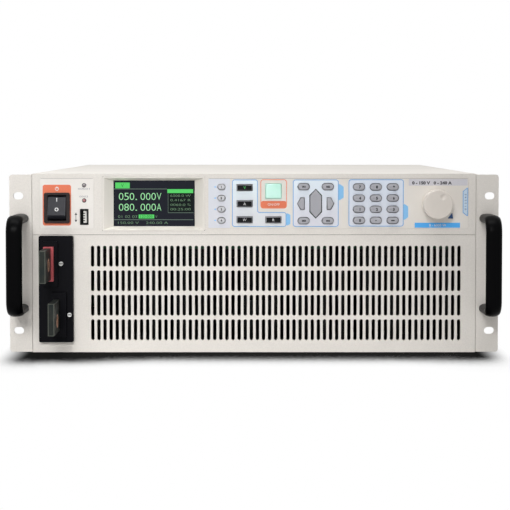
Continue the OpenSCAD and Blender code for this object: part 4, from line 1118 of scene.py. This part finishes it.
def studio_floor():
    """Pale matt sheet. Where seen directly it carries a painted contact shadow: dark, turning to plain white
    past the object's ends or as the share of sky open within REACH metres grows from NEAR to FAR."""
    f = Finish("studio_floor")
    seen = seen_directly(f)
    sheet = f.node("ShaderNodeBsdfDiffuse", {}, {"Color": f.tint(seen, PALE, PAINTED_SHADOW)})[0]
    open_sky = f.node("ShaderNodeAmbientOcclusion", {"samples": 16}, {"Distance": REACH})[1]
    light = f.node("ShaderNodeEmission", {}, {"Color": WHITE})[0]
    x, _, _ = f.axes()
    ends = x.math("ABSOLUTE", x).step(ENDS_FROM, ENDS_TO)
    # Painted contact shadow: seen directly, the floor is dark wherever little sky is open nearby.
    mask = seen * (1 - (1 - open_sky.step(NEAR, FAR)) * (1 - ends))
    both = f.node("ShaderNodeMixShader", {}, {0: mask, 1: sheet, 2: light})[0]
    f.node("ShaderNodeOutputMaterial", {}, {"Surface": both})
    return f.material


floor_finish = studio_floor()
print("floor finish", floor_finish.name)

# %% Floor and world
FLOOR_HALF = 30
CELLS = 8
UNDER_FEET = 0.0002
WORLD_LIGHT = 0.27
line = np.linspace(-FLOOR_HALF, FLOOR_HALF, CELLS + 1)
gx, gy = np.meshgrid(line, line)
places = np.stack([gx.ravel(), gy.ravel(), np.full(gx.size, cad_low.z - UNDER_FEET)], 1)
row = len(line)
base = (np.arange(CELLS)[:, None] * row + np.arange(CELLS)).ravel()
quads = np.stack([base, base + 1, base + row + 1, base + row], 1)
floor_mesh = bpy.data.meshes.new("studio_floor")
floor_mesh.from_pydata(places.tolist(), [], quads.tolist())
floor_mesh.materials.append(floor_finish)
floor = bpy.data.objects.new("studio_floor", floor_mesh)
bpy.context.scene.collection.objects.link(floor)
floor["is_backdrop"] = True
world = bpy.data.worlds.new("studio_world")
bpy.context.scene.world = world
world.use_nodes = True
sky = Shader(world.node_tree)
dim = sky.node("ShaderNodeBackground", {}, {"Color": WHITE, "Strength": WORLD_LIGHT})[0]
white = sky.node("ShaderNodeBackground", {}, {"Color": WHITE, "Strength": 1.0})[0]
both = sky.node("ShaderNodeMixShader", {}, {0: seen_directly(sky), 1: dim, 2: white})[0]
sky.node("ShaderNodeOutputWorld", {}, {"Surface": both})
print("floor at z =", round(cad_low.z, 4))


# %% Lights
def soft_light(name, place, aim, size, power, spread=180):
    """An area light at place, facing aim; its light stays within the spread, in degrees."""
    lamp = bpy.data.lights.new(name, "AREA")
    lamp.shape = "RECTANGLE"
    lamp.size, lamp.size_y = size
    lamp.energy = power
    lamp.spread = math.radians(spread)
    holder = bpy.data.objects.new(name, lamp)
    bpy.context.scene.collection.objects.link(holder)
    holder.location = place
    holder.rotation_euler = (Vector(aim) - Vector(place)).to_track_quat("-Z", "Y").to_euler()


soft_light("key_left", place=(-0.42, -2.0, 0.98), aim=(-0.24, -0.26, 0.0), size=(0.8, 0.6), power=1.4,
           spread=40)
soft_light("top_soft", place=(-0.2, -0.56, 1.9), aim=(-0.1, -0.2, 0.0), size=(1.6, 0.8), power=20)
print("lights", len(bpy.data.lights))

# %% [markdown]
# ## Camera
# The photograph looks straight at the panel from a little above: the panel's edges stay parallel and a thin
# strip of the top shows. A long lens 1.5 m in front gives that, turned down by about two degrees, with a
# small shift for the rest so that upright edges stay upright.

# %% Camera
DOWN = 0.0382
ASIDE = -0.0004
camera = bpy.data.cameras.new("front_camera")
camera.lens = 107.6
camera.sensor_width = 36.0
camera.shift_y = -0.1131
camera.clip_end = 200
holder = bpy.data.objects.new("front_camera", camera)
bpy.context.scene.collection.objects.link(holder)
holder.location = (0.0004, -1.7652, 0.2112)
holder.rotation_euler = (math.radians(90) - DOWN, 0, ASIDE)
bpy.context.scene.camera = holder
bpy.context.scene.view_settings.view_transform = "Standard"
print("camera", round(FACE * MM - holder.location.y, 3), "m before the panel")

# %% Sizes
low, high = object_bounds()
print("visual box", [round(v, 4) for v in low], [round(v, 4) for v in high])
